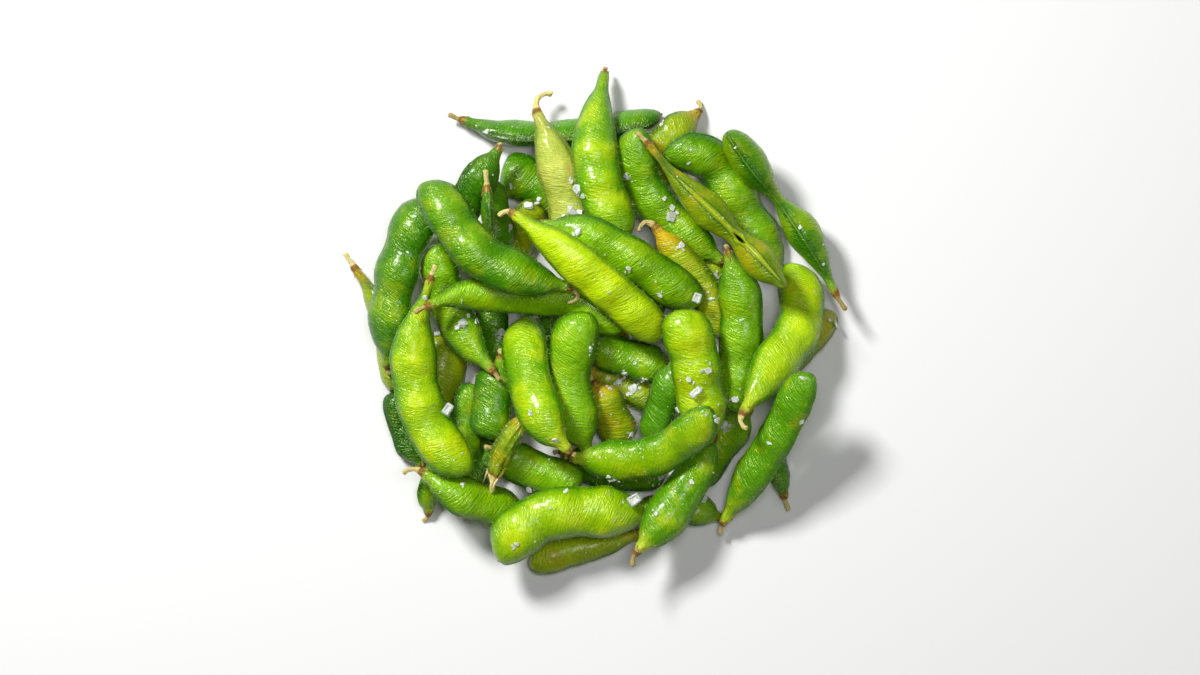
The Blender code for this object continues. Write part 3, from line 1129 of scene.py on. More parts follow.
@dataclass
class PodBuilder:
    """Grows a fine skin along a pod's rings, in millimetres.

    Attributes:
        name: The pod's node.
        habit: What sets it apart.
        spacing: The distance between two fine rings.
        around: How many points there are around the pod.
        ridge: How far a seam's ridge stands out.
        sag: How far the underside settles towards what it lies on.
        lump: How far a bean swells the skin beyond the solid, as a share of its thickness.
        unevenness: The size of the skin's slow waves.
        box: The corners, in metres, that the skin stays within.
        crease: The depth of the fine creases that run across the pod.
        crease_spacing: The distance from one crease to the next.
        crease_length: How far a crease runs.
        crease_slant: How far a crease leans along the pod as it crosses it.
        waves: How many slow waves there are.
        wave_length: The shortest and the longest of them.
        crowding: How much closer together the points around the pod are near its seams.
        curl: How far a beak curls to the side that it leans to, as a share of its length.
        rise_over: How long the end is that bends up, where a pod's habit says so.
        tip_girth: Half the width that the tip narrows to where its beak starts.
        margin: How far inside the box the skin stays.
        random: Where the pod's own random numbers come from.
        at: How far from the stalk's end each fine ring is.
        total: The length of the solid's course.
        calyx_at: How far from the stalk's end the calyx is, with its place, direction and radius.
        wide: From the middle to a seam, at each fine ring, as thick is to a flat side.
        centre: The middle of each fine ring, with its directions forward, to its seam and flat side.
        angle: The angles around the pod.
        points: The skin's points, by fine ring and by angle, with the way out of the skin.
        crown: How far each point is up on a bean, from a seam, and inside a split seam.
    """

    name: str
    habit: Habit
    spacing: float = 0.36
    around: int = 64
    ridge: float = 0.22
    sag: float = 0.35
    lump: float = 0.04
    unevenness: float = 0.07
    crease: float = 0.04
    crease_spacing: float = 1.25
    crease_length: float = 4.5
    crease_slant: float = 0.5
    box: tuple = (Vector((-1, -1, 0)), Vector((1, 1, 1)))
    waves: int = 5
    wave_length: tuple[float, float] = (5, 14)
    crowding: float = 0.36
    curl: float = 0.35
    rise_over: float = 11.0
    tip_girth: float = 0.75
    margin: float = 0.02
    random: np.random.Generator = field(init=False)
    at: np.ndarray = field(init=False)
    total: float = field(init=False)
    calyx_at: float = field(init=False)
    calyx_place: np.ndarray = field(init=False)
    calyx_axis: np.ndarray = field(init=False)
    calyx_radius: float = field(init=False)
    wide: np.ndarray = field(init=False)
    thick: np.ndarray = field(init=False)
    centre: np.ndarray = field(init=False)
    forward: np.ndarray = field(init=False)
    seam: np.ndarray = field(init=False)
    flat: np.ndarray = field(init=False)
    angle: np.ndarray = field(init=False)
    points: np.ndarray = field(init=False)
    outward: np.ndarray = field(init=False)
    crown: np.ndarray = field(init=False)
    from_seam: np.ndarray = field(init=False)
    inside: np.ndarray = field(init=False)

    def build(self, node: bpy.types.Object, material: bpy.types.Material) -> bpy.types.Object:
        """Makes the pod's visible piece.

        Args:
            node: The pod's solid.
            material: Its finish.

        Returns:
            The piece.
        """
        rings = Rings.read(node)
        self.random = np.random.default_rng(int(self.name[-2:]))
        knots = rings.knots()
        end = knots[-1] + self.habit.beak
        at = np.linspace(0, end, int(end / self.spacing))
        at = np.concatenate([[0.05, 0.15], at[1:-1], [end - 0.12, end - 0.04]])
        at.sort()
        self.at, self.total, self.calyx_at = at, knots[-1], knots[rings.calyx + 1]
        self._lay_course(rings, knots)
        points = self._skin(rings, knots)
        return self._to_piece(points, material)

    def _lay_course(self, rings: Rings, knots: np.ndarray) -> None:
        """Works out the centre line, its directions and the girth at every fine ring.

        Args:
            rings: The pod's rings.
            knots: Their distances.
        """
        course = rings.course()
        on_body = np.clip(self.at, 0, self.total)
        centre = follow(knots, course, on_body)
        seam = follow(knots[1:-1], rings.seam, np.clip(on_body, knots[1], knots[-2]))
        last = unit(course[-1] - course[-2])
        beyond = np.clip(self.at - self.total, 0, None)[:, None]
        curl = self.curl * math.copysign(1.0, self.habit.lean) * unit(rings.seam[-1])
        centre = centre + beyond * (last + curl * beyond / max(self.habit.beak, 0.1))
        lifted = step_up(self.at, self.total - self.rise_over, self.total + self.habit.beak)
        centre = centre + lifted[:, None] * np.array((0, 0, self.habit.rise))
        squares = np.column_stack([rings.half_width**2, rings.half_thickness**2])
        squares = np.vstack([[0, 0], squares, [0, 0]])
        girth = np.sqrt(np.clip(follow(knots, squares, on_body, limited=True), 0, None))
        self.wide, self.thick = girth[:, 0], girth[:, 1]
        share = (self.at - self.calyx_at) / (self.total - self.calyx_at)
        for hollow in self.habit.hollows:
            slimmed = 1 - hollow.depth * swell(share, hollow.place, hollow.spread) * (share > 0)
            self.wide, self.thick = self.wide * slimmed, self.thick * slimmed
        forward = unit(np.gradient(centre, axis=0))
        seam = unit(seam - (seam * forward).sum(axis=1, keepdims=True) * forward)
        self._shape_tip(centre, seam)
        self.centre, self.forward, self.seam = centre, forward, seam
        self.flat = np.cross(forward, seam)
        calyx = int(np.searchsorted(self.at, self.calyx_at))
        self.calyx_place, self.calyx_axis = centre[calyx], forward[calyx]
        self.calyx_radius = float(self.wide[calyx])

    def _shape_tip(self, centre: np.ndarray, seam: np.ndarray) -> None:
        """Leans the tip towards one seam and draws it out into a beak.

        Args:
            centre: The centre line, which is moved.
            seam: The seam's directions.
        """
        widest = self.wide.max()
        near_tip = step_up(self.at, self.total * 0.75, self.total)
        centre += seam * (self.habit.lean * (widest - self.wide) * near_tip)[:, None] * 0.7
        beak_end = self.total + self.habit.beak
        left = np.clip((beak_end - self.at) / (self.habit.beak + 1.6), 0, 1)
        beak = self.tip_girth * np.sqrt(left) * step_up(self.at, self.total - 4.0, self.total - 1.0)
        self.wide = np.maximum(self.wide, beak if self.habit.beak > 0.3 else beak * 0.6)
        self.thick = np.maximum(self.thick, beak * 0.8)

    def _angles(self) -> np.ndarray:
        """Spreads the points around the pod, closer together near the two seams.

        Returns:
            The angles from the upper seam.
        """
        even = np.linspace(0, 2 * np.pi, self.around, endpoint=False)
        return even - self.crowding * np.sin(2 * even)

    def _skin(self, rings: Rings, knots: np.ndarray) -> np.ndarray:
        """Works out every point of the skin.

        Args:
            rings: The pod's rings.
            knots: Their distances.

        Returns:
            Points, by fine ring and by angle.
        """
        angle = self._angles()
        cos, sin = np.cos(angle), np.sin(angle)
        at = self.at[:, None]
        on_pod = step_up(self.at, self.calyx_at + 1, self.calyx_at + 6)[:, None]
        bean_at = [knots[k + 1] for k in rings.beans]
        reach = 0.34 * (bean_at[1] - bean_at[0]) if len(bean_at) > 1 else 9.0
        over_bean = sum(swell(at, place, reach) for place in bean_at)
        self.crown = (0.7 + 0.3 * np.clip(over_bean, 0, 1)) * np.abs(sin) ** 1.2 * on_pod
        pinch = 1 + 0.22 * (1 - np.clip(over_bean, 0, 1)) * on_pod
        across = self.wide[:, None] * cos
        through = self.thick[:, None] * np.sign(sin) * np.abs(sin) ** pinch
        through = through * (1 + self.lump * (over_bean - 0.35) * on_pod * sin**2)

        seam_angle = np.minimum(angle, 2 * np.pi - angle)
        seam_angle = np.minimum(seam_angle, np.abs(np.pi - angle))
        self.from_seam = seam_angle * np.maximum(self.thick, 0.8)[:, None] * 0.9
        ridge = self.ridge * swell(self.from_seam, 0, 0.42) - 0.12 * swell(self.from_seam, 1.05, 0.5)
        ridge = ridge * step_up(self.wide, 1.6, 3.2)[:, None]
        out = (ridge + self._waves(angle) + self._creases(angle)) * on_pod
        out = out + self._stalk_ribs(angle) * (1 - on_pod)
        out = out + self._opening(angle)
        direction = across[..., None] * self.seam[:, None] + through[..., None] * self.flat[:, None]
        outward = unit(
            (across / np.maximum(self.wide, 0.3)[:, None] ** 2)[..., None] * self.seam[:, None]
            + (through / np.maximum(self.thick, 0.3)[:, None] ** 2)[..., None] * self.flat[:, None]
            + 1e-9
        )
        sag = self.sag * np.clip(-outward[..., 2], 0, 1) * on_pod
        points = self.centre[:, None] + direction + (out + sag)[..., None] * outward
        low, high = (np.array(corner) / MM for corner in self.box)
        points = np.clip(points, low + self.margin, high - self.margin)
        self.angle, self.points, self.outward = angle, points, outward
        return points

    def _waves(self, angle: np.ndarray) -> np.ndarray:
        """Gives the skin slow waves, and deep folds where the pod is shrivelled.

        Args:
            angle: The angles around the pod.

        Returns:
            How far each point moves out.
        """
        at = self.at[:, None]
        waves = np.zeros((len(self.at), len(angle)))
        for _ in range(self.waves):
            length = self.random.uniform(*self.wave_length)
            turns = self.random.integers(1, 4)
            phase = self.random.uniform(0, 6.28)
            waves += np.sin(2 * np.pi * at / length + turns * angle + phase)
        waves *= self.unevenness / 2.2
        if self.habit.shrivel:
            folds = np.sin(7 * angle + 2.2 * np.sin(at / 3.1)) + 0.6 * np.sin(11 * angle - at / 2.3)
            waves += self.habit.shrivel * 0.5 * folds
        return waves

    def _creases(self, angle: np.ndarray) -> np.ndarray:
        """Gives both sides their fine creases, which fade out at the seams.

        Args:
            angle: The angles around the pod.

        Returns:
            How far each point moves out.
        """
        girth = (self.thick + self.wide)[:, None] / 2
        across = (np.minimum(angle, 2 * np.pi - angle) - np.pi / 2) * girth
        side = np.where(angle > np.pi, 500.0, 0.0)
        drawn = across / self.crease_length + side
        slanted = self.at[:, None] + self.crease_slant * across
        fine = smooth_noise(self.random, slanted / self.crease_spacing, drawn)
        crossed = self.at[:, None] - 0.9 * self.crease_slant * across
        cross = smooth_noise(self.random, crossed / (1.4 * self.crease_spacing), drawn)
        return self.crease * (fine + 0.6 * cross) * step_up(self.from_seam, 0.4, 1.6)

    def _stalk_ribs(self, angle: np.ndarray) -> np.ndarray:
        """Gives the stalk its lengthwise ribs.

        Args:
            angle: The angles around the stalk.

        Returns:
            How far each point moves out.
        """
        at = self.at[:, None]
        knobs = swell(at, 0.5, 1.0) + 0.8 * swell(at, 0.5 * self.calyx_at, 1.1)
        knobs = knobs + 0.6 * swell(at, self.calyx_at, 1.5)
        ribs = 0.07 * np.sin(5 * angle + at * 0.5) + 0.05 * np.sin(at * 2.3 + angle)
        return ribs + self.habit.knobs * knobs * (1 + 0.3 * np.sin(3 * angle + at))

    def _opening(self, angle: np.ndarray) -> np.ndarray:
        """Opens the upper seam where it has split.

        Args:
            angle: The angles around the pod.

        Returns:
            How far each point moves out.
        """
        gape = self.habit.gape
        self.inside = np.zeros((len(self.at), len(angle)))
        if gape is None:
            return self.inside
        length = self.total - self.calyx_at
        share = (self.at - self.calyx_at) / length
        opened = np.sin(np.pi * np.clip((share - gape.start) / (gape.end - gape.start), 0, 1)) ** 0.5
        hole = swell(share, gape.hole_at, 0.028)[:, None]
        from_upper = np.minimum(angle, 2 * np.pi - angle) * np.maximum(self.thick, 0.8)[:, None] * 0.9
        half = np.maximum(gape.half_width * opened, 0.01)[:, None] * (1 + 0.9 * hole)
        within = np.clip(1 - (from_upper / half) ** 2, 0, 1)
        # Above 1, in the hole, the finish paints the skin near black: painted shade.
        self.inside = within * (1 + 1.5 * hole)
        self.from_seam = np.minimum(3 * self.from_seam, 2.5 * np.abs(from_upper - half) + 3 * (half < 0.2))
        lips = 0.3 * swell(from_upper, half, 0.35) * opened[:, None]
        return lips - within * opened[:, None] * (gape.depth + gape.hole_depth * hole)

    def _to_piece(self, points: np.ndarray, material: bpy.types.Material) -> bpy.types.Object:
        """Makes the skin's mesh, with the values that its finish reads.

        Args:
            points: The skin's points, by fine ring and by angle.
            material: The finish.

        Returns:
            The piece.
        """
        rows, columns, _ = points.shape
        first, last = points[0].mean(axis=0), points[-1].mean(axis=0)
        vertices = np.vstack([points.reshape(-1, 3), first, last]) * MM
        row, column = np.meshgrid(np.arange(rows - 1), np.arange(columns), indexing="ij")
        after = (column + 1) % columns
        here, ahead = row * columns, (row + 1) * columns
        quads = np.stack([here + column, here + after, ahead + after, ahead + column], axis=-1)
        quads = quads.reshape(-1, 4)
        ring = np.arange(columns)
        start, end = rows * columns, rows * columns + 1
        caps = [(start, int((k + 1) % columns), int(k)) for k in ring]
        base = (rows - 1) * columns
        caps += [(end, base + int(k), base + int((k + 1) % columns)) for k in ring]
        mesh = bpy.data.meshes.new(f"{self.name}_skin")
        mesh.from_pydata(vertices.tolist(), [], quads.tolist() + caps)
        self._store(mesh, rows, columns)
        mesh.materials.append(material)
        mesh.shade_smooth()
        return in_scene(mesh, f"{self.name}_skin")

    def _store(self, mesh: bpy.types.Mesh, rows: int, columns: int) -> None:
        """Stores the values that the finish reads.

        Args:
            mesh: The skin's mesh.
            rows: The number of fine rings.
            columns: The number of points around.
        """
        shape = (rows, columns)
        dry_edge = self.calyx_at + 0.4
        calyx = step_up(self.at, dry_edge + 0.8, dry_edge - 0.8) * 0.5
        stalk = step_up(self.at, dry_edge - 1.2, dry_edge - 2.4) * (1 - 0.5 * self.habit.dryness)
        tip = 0.4 * step_up(self.at, self.total + 0.1, self.total + 0.8)
        if self.habit.dry_tip:
            tip = step_up(self.at, self.total - self.habit.dry_tip, self.total - 0.4 * self.habit.dry_tip)
        dry = np.maximum(calyx + np.maximum(stalk, 0) * 0.5, tip)
        neck_end = self.calyx_at + self.habit.neck_length
        neck = self.habit.neck_tint * step_up(self.at, neck_end, self.calyx_at + 1)
        fields = {
            "crown": self.crown,
            "from_seam": self.from_seam,
            "neck": np.broadcast_to(neck[:, None], shape),
            "dry": np.broadcast_to(dry[:, None], shape),
            "inside": self.inside,
            # The pod's lightness: partly its tone, partly painted light and painted shade.
            "shade": np.full(shape, self.habit.shade),
        }
        for name, values in fields.items():
            values = np.broadcast_to(values, shape).ravel()
            values = np.concatenate([values, values[:1], values[-1:]]).astype(np.float32)
            mesh.attributes.new(name, "FLOAT", "POINT").data.foreach_set("value", values)
        girth = float(self.thick.max() + self.wide.max()) / 2
        around = np.concatenate([self.angle, [2 * np.pi]]) * girth
        loops = np.zeros(len(mesh.loops), np.int64)
        mesh.loops.foreach_get("vertex_index", loops)
        column = loops % columns
        row = np.minimum(loops // columns, rows - 1)
        starts = np.zeros(len(mesh.polygons), np.int64)
        mesh.polygons.foreach_get("loop_start", starts)
        quads = (rows - 1) * columns
        wrapped = np.arange(quads) % columns == columns - 1
        corners = starts[:quads][wrapped]
        column[corners + 1] = columns
        column[corners + 2] = columns
        course = np.column_stack([self.at[row], around[column]]).astype(np.float32)
        mesh.uv_layers.new(name="course").data.foreach_set("uv", course.ravel())


def nodes_input(modifier: bpy.types.NodesModifier, name: str) -> str:
    """Finds a modifier input's identifier.

    Args:
        modifier: The Geometry Nodes modifier.
        name: The input's name.

    Returns:
        The identifier.
    """
    items = modifier.node_group.interface.items_tree
    return next(item.identifier for item in items if item.name == name and item.in_out == "INPUT")


def grow(name: str, mesh: bpy.types.Mesh, tree: bpy.types.NodeTree, inputs: dict) -> bpy.types.Object:
    """Runs a Geometry Nodes tree on a mesh and keeps the result as a plain piece.

    Args:
        name: The piece's name.
        mesh: The mesh that the tree starts from.
        tree: The tree.
        inputs: Its inputs by name.

    Returns:
        The piece.
    """
    source = in_scene(mesh, f"{name}_source")
    modifier = source.modifiers.new("grow", "NODES")
    modifier.node_group = tree
    for socket, value in inputs.items():
        modifier[nodes_input(modifier, socket)] = value
    bpy.context.view_layer.update()
    evaluated = source.evaluated_get(bpy.context.evaluated_depsgraph_get())
    result = bpy.data.meshes.new_from_object(evaluated)
    result.name = name
    source.modifiers.remove(modifier)
    bpy.data.objects.remove(source)
    return in_scene(result, name)


def keep_within(piece: bpy.types.Object, low: Vector, high: Vector) -> None:
    """Presses a piece's points back inside a box.

    Args:
        piece: The piece.
        low: The box's lowest corner.
        high: Its highest corner.
    """
    places = np.zeros(len(piece.data.vertices) * 3)
    piece.data.vertices.foreach_get("co", places)
    places = np.clip(places.reshape(-1, 3), low, high)
    piece.data.vertices.foreach_set("co", places.ravel())
    piece.data.update()


def pointed_mesh(
    name: str, points: list, along: list, outward: list, widths: list[float] | None = None
) -> bpy.types.Mesh:
    """Makes a mesh of loose points that each know which way they face.

    Args:
        name: Its name.
        points: The places, in metres.
        along: The direction of each one's length.
        outward: The direction of each one's top.
        widths: How wide each one is, in millimetres, where the shape is a metre across.

    Returns:
        The mesh.
    """
    mesh = bpy.data.meshes.new(name)
    mesh.from_pydata([tuple(point) for point in points], [], [])
    for attribute, values in (("along", along), ("outward", outward)):
        data = mesh.attributes.new(attribute, "FLOAT_VECTOR", "POINT").data
        data.foreach_set("vector", np.array(values, np.float32).ravel())
    widths = np.ones(len(points)) if widths is None else np.array(widths) * MM
    mesh.attributes.new("width", "FLOAT", "POINT").data.foreach_set("value", widths.astype(np.float32))
    return mesh


def finish_tree(
    graph: Graph, placed: bpy.types.NodeSocket, material: bpy.types.Material, out: bpy.types.Node
) -> None:
    """Ends a tree: makes its instances real and gives them their finish.

    Args:
        graph: The tree's graph.
        placed: The instances.
        material: Their finish.
        out: The tree's output node.
    """
    real = graph.add("GeometryNodeRealizeInstances", {"Geometry": placed})
    dressing = {"Geometry": real.outputs[0], "Material": material}
    graph.link(graph.add("GeometryNodeSetMaterial", dressing).outputs[0], out.inputs["Geometry"])


def setting_tree(material: bpy.types.Material) -> bpy.types.NodeTree:
    """Builds the tree that sets a shape at every point, turned the way the point faces.

    Args:
        material: The shape's finish.

    Returns:
        The tree.
    """
    sockets = {
        "Geometry": "NodeSocketGeometry",
        "Shape": "NodeSocketObject",
        "Smallest": "NodeSocketVector",
        "Largest": "NodeSocketVector",
        "Seed": "NodeSocketInt",
    }
    geometry = {"Geometry": "NodeSocketGeometry"}
    tree, graph, given, out = new_group("Set Shapes", sockets, geometry, "GeometryNodeTree")
    read = "GeometryNodeInputNamedAttribute"
    along = graph.add(read, {"Name": "along"}, data_type="FLOAT_VECTOR").outputs[0]
    outward = graph.add(read, {"Name": "outward"}, data_type="FLOAT_VECTOR").outputs[0]
    axes = {0: along, 1: outward}
    facing = graph.add("FunctionNodeAxesToRotation", axes, primary_axis="X", secondary_axis="Z")
    shape = graph.add("GeometryNodeObjectInfo", {"Object": given["Shape"], "As Instance": True})
    size = graph.add(
        "FunctionNodeRandomValue",
        {"Seed": given["Seed"], 0: given["Smallest"], 1: given["Largest"]},
        data_type="FLOAT_VECTOR",
    )
    width = graph.add(read, {"Name": "width"}, data_type="FLOAT")
    scaled = {0: size.outputs[0], "Scale": width.outputs[0]}
    scale = graph.add("ShaderNodeVectorMath", scaled, operation="SCALE")
    place = graph.add(
        "GeometryNodeInstanceOnPoints",
        {
            "Points": given["Geometry"],
            "Instance": shape.outputs["Geometry"],
            "Rotation": facing.outputs[0],
            "Scale": scale.outputs[0],
        },
    )
    finish_tree(graph, place.outputs[0], material, out)
    return tree


def crystal(name: str, seed: int, facets: int = 5) -> bpy.types.Object:
    """Makes one angular crystal a metre across, for instancing.

    Args:
        name: Its name.
        seed: What makes it differ.
        facets: How many corners its outline is cut from.

    Returns:
        The crystal, outside the scene.
    """
    random = np.random.default_rng(seed)
    bm = bmesh.new()
    outline = [2 * math.pi * (corner + random.uniform(-0.35, 0.35)) / facets for corner in range(facets)]
    for side in (-0.5, 0.5):
        for turn in outline:
            reach = random.uniform(0.24, 0.5)
            bm.verts.new((math.cos(turn) * reach, math.sin(turn) * reach, side * random.uniform(0.3, 1)))
    hull = bmesh.ops.convex_hull(bm, input=bm.verts)
    inner = [part for part in hull["geom_interior"] if isinstance(part, bmesh.types.BMVert)]
    bmesh.ops.delete(bm, geom=inner, context="VERTS")
    bmesh.ops.recalc_face_normals(bm, faces=bm.faces)
    return bpy.data.objects.new(name, worked_mesh(bm, name))


@dataclass(frozen=True)
class Sprinkle:
    """Salt that is scattered by the thousand.

    Attributes:
        name: The piece's name.
        density: How many there are on a square metre.
        smallest: The smallest one's width, in metres.
        largest: The largest one's width, in metres.
        seed: What the scattering is drawn from.
    """

    name: str
    density: float
    smallest: float
    largest: float
    seed: int


@dataclass
class Salt:
    """Coarse salt: the large flakes and the small ones scattered over the heap, in millimetres.

    Attributes:
        large: Where the large flakes lie, as seen from above, and how wide they are.
        clusters: Where the grains fell thickest, how far they spread, and how thick they lie.
        everywhere: How thick the grains lie between the clusters.
        sprinkles: The small flakes and the grains.
        middle: The point that these places are counted from.
        chips: How many chips lie against each large flake.
        chip_width: The narrowest and the widest chip, as shares of their flake.
        chip_reach: How near to and how far from its flake a chip lies, as shares of the flake.
        kinds: How many crystal shapes there are.
        grid: The spacing of the surface that salt can land on.
        steepest: How far up a surface faces at least, where scattered salt stays on it.
        chip_steepest: The same for a chip.
        headroom: How far below the heap's top scattered salt stays.
        flake_headroom: The same for a large flake.
        lowest: How high a large flake lies at least.
    """

    # The worn edges and the hopper's steps of the four flakes that have solids, in metres.
    EDGE_WEAR = 0.00022
    STEP_WIDTH = 0.00035
    STEP_DEPTHS = (0.00018, 0.0002)

    large: tuple = (
        (6, -19, 3.0), (11, -21, 3.2), (9, -23, 2.2), (28.5, -18, 2.4), (43, -24.5, 2.6),
        (12, -28, 2.8), (25, -28, 2.2), (40, -32.5, 3.8), (37, -31, 2.4), (4, -50, 3.2),
        (20, -49, 2.6), (33, -57, 3.6), (35, -55.5, 2.2), (39, -69, 3.2), (18, -61, 2.0),
        (10, -36, 1.8), (-44, 0, 3.8), (-52.5, -4, 3.4), (-32, -3, 3.0), (-40, 0.5, 1.8),
        (-23, 38, 3.6), (-7, 43, 4.0), (-9, 36, 4.0), (-7, 29, 3.2), (-28.5, 44.5, 1.8),
        (-29, 31, 2.2), (-20, 40, 2.0), (23, 34.5, 3.4), (26, 25, 2.6), (37, 15, 2.4),
        (9, 17.5, 2.2), (8.5, 47.5, 2.0), (20, 64, 1.8), (-14, -43, 3.4), (-18, -41.5, 3.0),
        (-26.5, -70.5, 2.4), (-44, -51.5, 1.6), (-22, -28, 1.8), (-22.5, -53.5, 2.6), (76, -0.5, 3.8),
        (34, -15, 3.0), (8, -16, 2.0), (14, -18, 2.0), (3, -21, 1.8), (-3, -8, 1.8),
        (21, 3, 2.0), (19, 9, 1.8),
    )
    clusters: tuple = (
        (8, -20, 9, 2.4), (12, -14, 8, 1.6), (28, -25, 12, 1.0), (14, -52, 14, 1.0),
        (34, -55, 6, 1.6), (-16, -42, 7, 1.6), (-8, 38, 7, 2.0), (-44, -1, 6, 1.2),
        (38, -30, 7, 1.2), (30, 12, 10, 0.6), (-28, 36, 7, 0.8), (18, 48, 9, 0.8),
    )
    everywhere: float = 0.22
    sprinkles: tuple[Sprinkle, ...] = (
        Sprinkle("salt_flakes", density=10000.0, smallest=0.0009, largest=0.0027, seed=7),
        Sprinkle("salt_grains", density=42000.0, smallest=0.0003, largest=0.0010, seed=11),
    )
    middle: tuple[float, float] = (0.0, 0.0)
    chips: int = 2
    chip_width: tuple[float, float] = (0.35, 0.6)
    chip_reach: tuple[float, float] = (0.5, 0.8)
    kinds: int = 7
    grid: float = 1.1
    steepest: float = 0.55
    chip_steepest: float = 0.45
    headroom: float = 3.0
    flake_headroom: float = 3.5
    lowest: float = 2.0

    def _thickness(self, place: Vector) -> float:
        """Gives how thick the salt lies at a place.

        Args:
            place: The place.

        Returns:
            Its share of the density that is asked for.
        """
        x, y = place.x / MM - self.middle[0], place.y / MM - self.middle[1]
        spots = ((math.hypot(x - a, y - b) / spread, amount) for a, b, spread, amount in self.clusters)
        return self.everywhere + sum(amount * math.exp(-(away**2)) for away, amount in spots)

    def landing(self, tree: BVHTree, low: Vector, high: Vector) -> bpy.types.Mesh:
        """Makes the surface that salt can land on: what is seen from above, where it isn't steep.

        Args:
            tree: The heap.
            low: The heap's lowest corner.
            high: Its highest corner.

        Returns:
            The surface, with its density stored at its points.
        """
        step = self.grid * MM
        columns, rows = int((high.x - low.x) / step), int((high.y - low.y) / step)
        places, density, index = [], [], {}
        for row in range(rows):
            for column in range(columns):
                hit, normal = look_down(tree, low.x + column * step, low.y + row * step, high.z)
                if hit is None or normal.z < self.steepest or hit.z > high.z - self.headroom * MM:
                    continue
                index[row, column] = len(places)
                places.append(hit + Vector((0, 0, 0.2 * MM)))
                density.append(self._thickness(hit))
        faces = []
        for (row, column), first in index.items():
            others = ((row, column + 1), (row + 1, column + 1), (row + 1, column))
            corners = [index.get(other) for other in others]
            if None in corners:
                continue
            heights = [places[k].z for k in (first, *corners)]
            if max(heights) - min(heights) < 1.6 * step:
                faces.append((first, *corners))
        mesh = bpy.data.meshes.new("landing")
        mesh.from_pydata(places, [], faces)
        mesh.attributes.new("density", "FLOAT", "POINT").data.foreach_set("value", density)
        return mesh

    @staticmethod
    def scatter_tree(material: bpy.types.Material) -> bpy.types.NodeTree:
        """Builds the tree that scatters crystals over a surface.

        Args:
            material: The salt's finish.

        Returns:
            The tree.
        """
        tree, graph, given, out = new_group(
            "Scatter Crystals",
            {
                "Geometry": "NodeSocketGeometry",
                "Crystals": "NodeSocketCollection",
                "Density": "NodeSocketFloat",
                "Smallest": "NodeSocketFloat",
                "Largest": "NodeSocketFloat",
                "Seed": "NodeSocketInt",
            },
            {"Geometry": "NodeSocketGeometry"},
            "GeometryNodeTree",
        )
        local = graph.add("GeometryNodeInputNamedAttribute", {"Name": "density"}, data_type="FLOAT")
        thick = graph.math("MULTIPLY", local.outputs[0], given["Density"])
        scatter = graph.add(
            "GeometryNodeDistributePointsOnFaces",
            {"Mesh": given["Geometry"], "Density": thick, "Seed": given["Seed"]},
        )
        crystals = graph.add(
            "GeometryNodeCollectionInfo",
            {"Collection": given["Crystals"], "Separate Children": True, "Reset Children": True},
        )
        size = graph.add(
            "FunctionNodeRandomValue",
            {"Seed": given["Seed"], 2: 0.0, 3: 1.0},
            data_type="FLOAT",
        )
        skewed = graph.math("POWER", size.outputs[1], 2.2)
        span = graph.math("SUBTRACT", given["Largest"], given["Smallest"])
        across = graph.math("MULTIPLY_ADD", skewed, span, given["Smallest"])
        shape = graph.add(
            "FunctionNodeRandomValue",
            {"Seed": 3, 0: (0.8, 0.4, 0.15), 1: (1.4, 1.0, 0.35)},
            data_type="FLOAT_VECTOR",
        )
        scaled = {0: shape.outputs[0], "Scale": across}
        scale = graph.add("ShaderNodeVectorMath", scaled, operation="SCALE")
        spin = graph.add(
            "FunctionNodeRandomValue",
            {"Seed": 5, 0: (-0.35, -0.35, 0.0), 1: (0.35, 0.35, 6.28)},
            data_type="FLOAT_VECTOR",
        )
        turns = {0: scatter.outputs["Rotation"]}
        turn = graph.add("FunctionNodeRotateRotation", turns, rotation_space="LOCAL")
        as_rotation = graph.add("FunctionNodeEulerToRotation", {0: spin.outputs[0]})
        graph.link(as_rotation.outputs[0], turn.inputs[1])
        place = graph.add(
            "GeometryNodeInstanceOnPoints",
            {
                "Points": scatter.outputs["Points"],
                "Instance": crystals.outputs[0],
                "Pick Instance": True,
                "Rotation": turn.outputs[0],
                "Scale": scale.outputs[0],
            },
        )
        finish_tree(graph, place.outputs[0], material, out)
        return tree

    def build(self, tree: BVHTree, low: Vector, high: Vector, material: bpy.types.Material) -> list:
        """Scatters the flakes and the grains.

        Args:
            tree: The heap.
            low: The heap's lowest corner.
            high: Its highest corner.
            material: The salt's finish.

        Returns:
            The pieces.
        """
        kinds = bpy.data.collections.new("crystals")
        for number in range(self.kinds):
            kinds.objects.link(crystal(f"crystal_{number}", 40 + number))
        scatter = self.scatter_tree(material)
        landing = self.landing(tree, low, high)
        pieces = self._large_flakes(tree, high, material)
        for sprinkle in self.sprinkles:
            inputs = {
                "Crystals": kinds,
                "Density": sprinkle.density,
                "Smallest": sprinkle.smallest,
                "Largest": sprinkle.largest,
                "Seed": sprinkle.seed,
            }
            pieces.append(grow(sprinkle.name, landing.copy(), scatter, inputs))
        for spare in list(kinds.objects):
            bpy.data.objects.remove(spare)
        bpy.data.collections.remove(kinds)
        return pieces

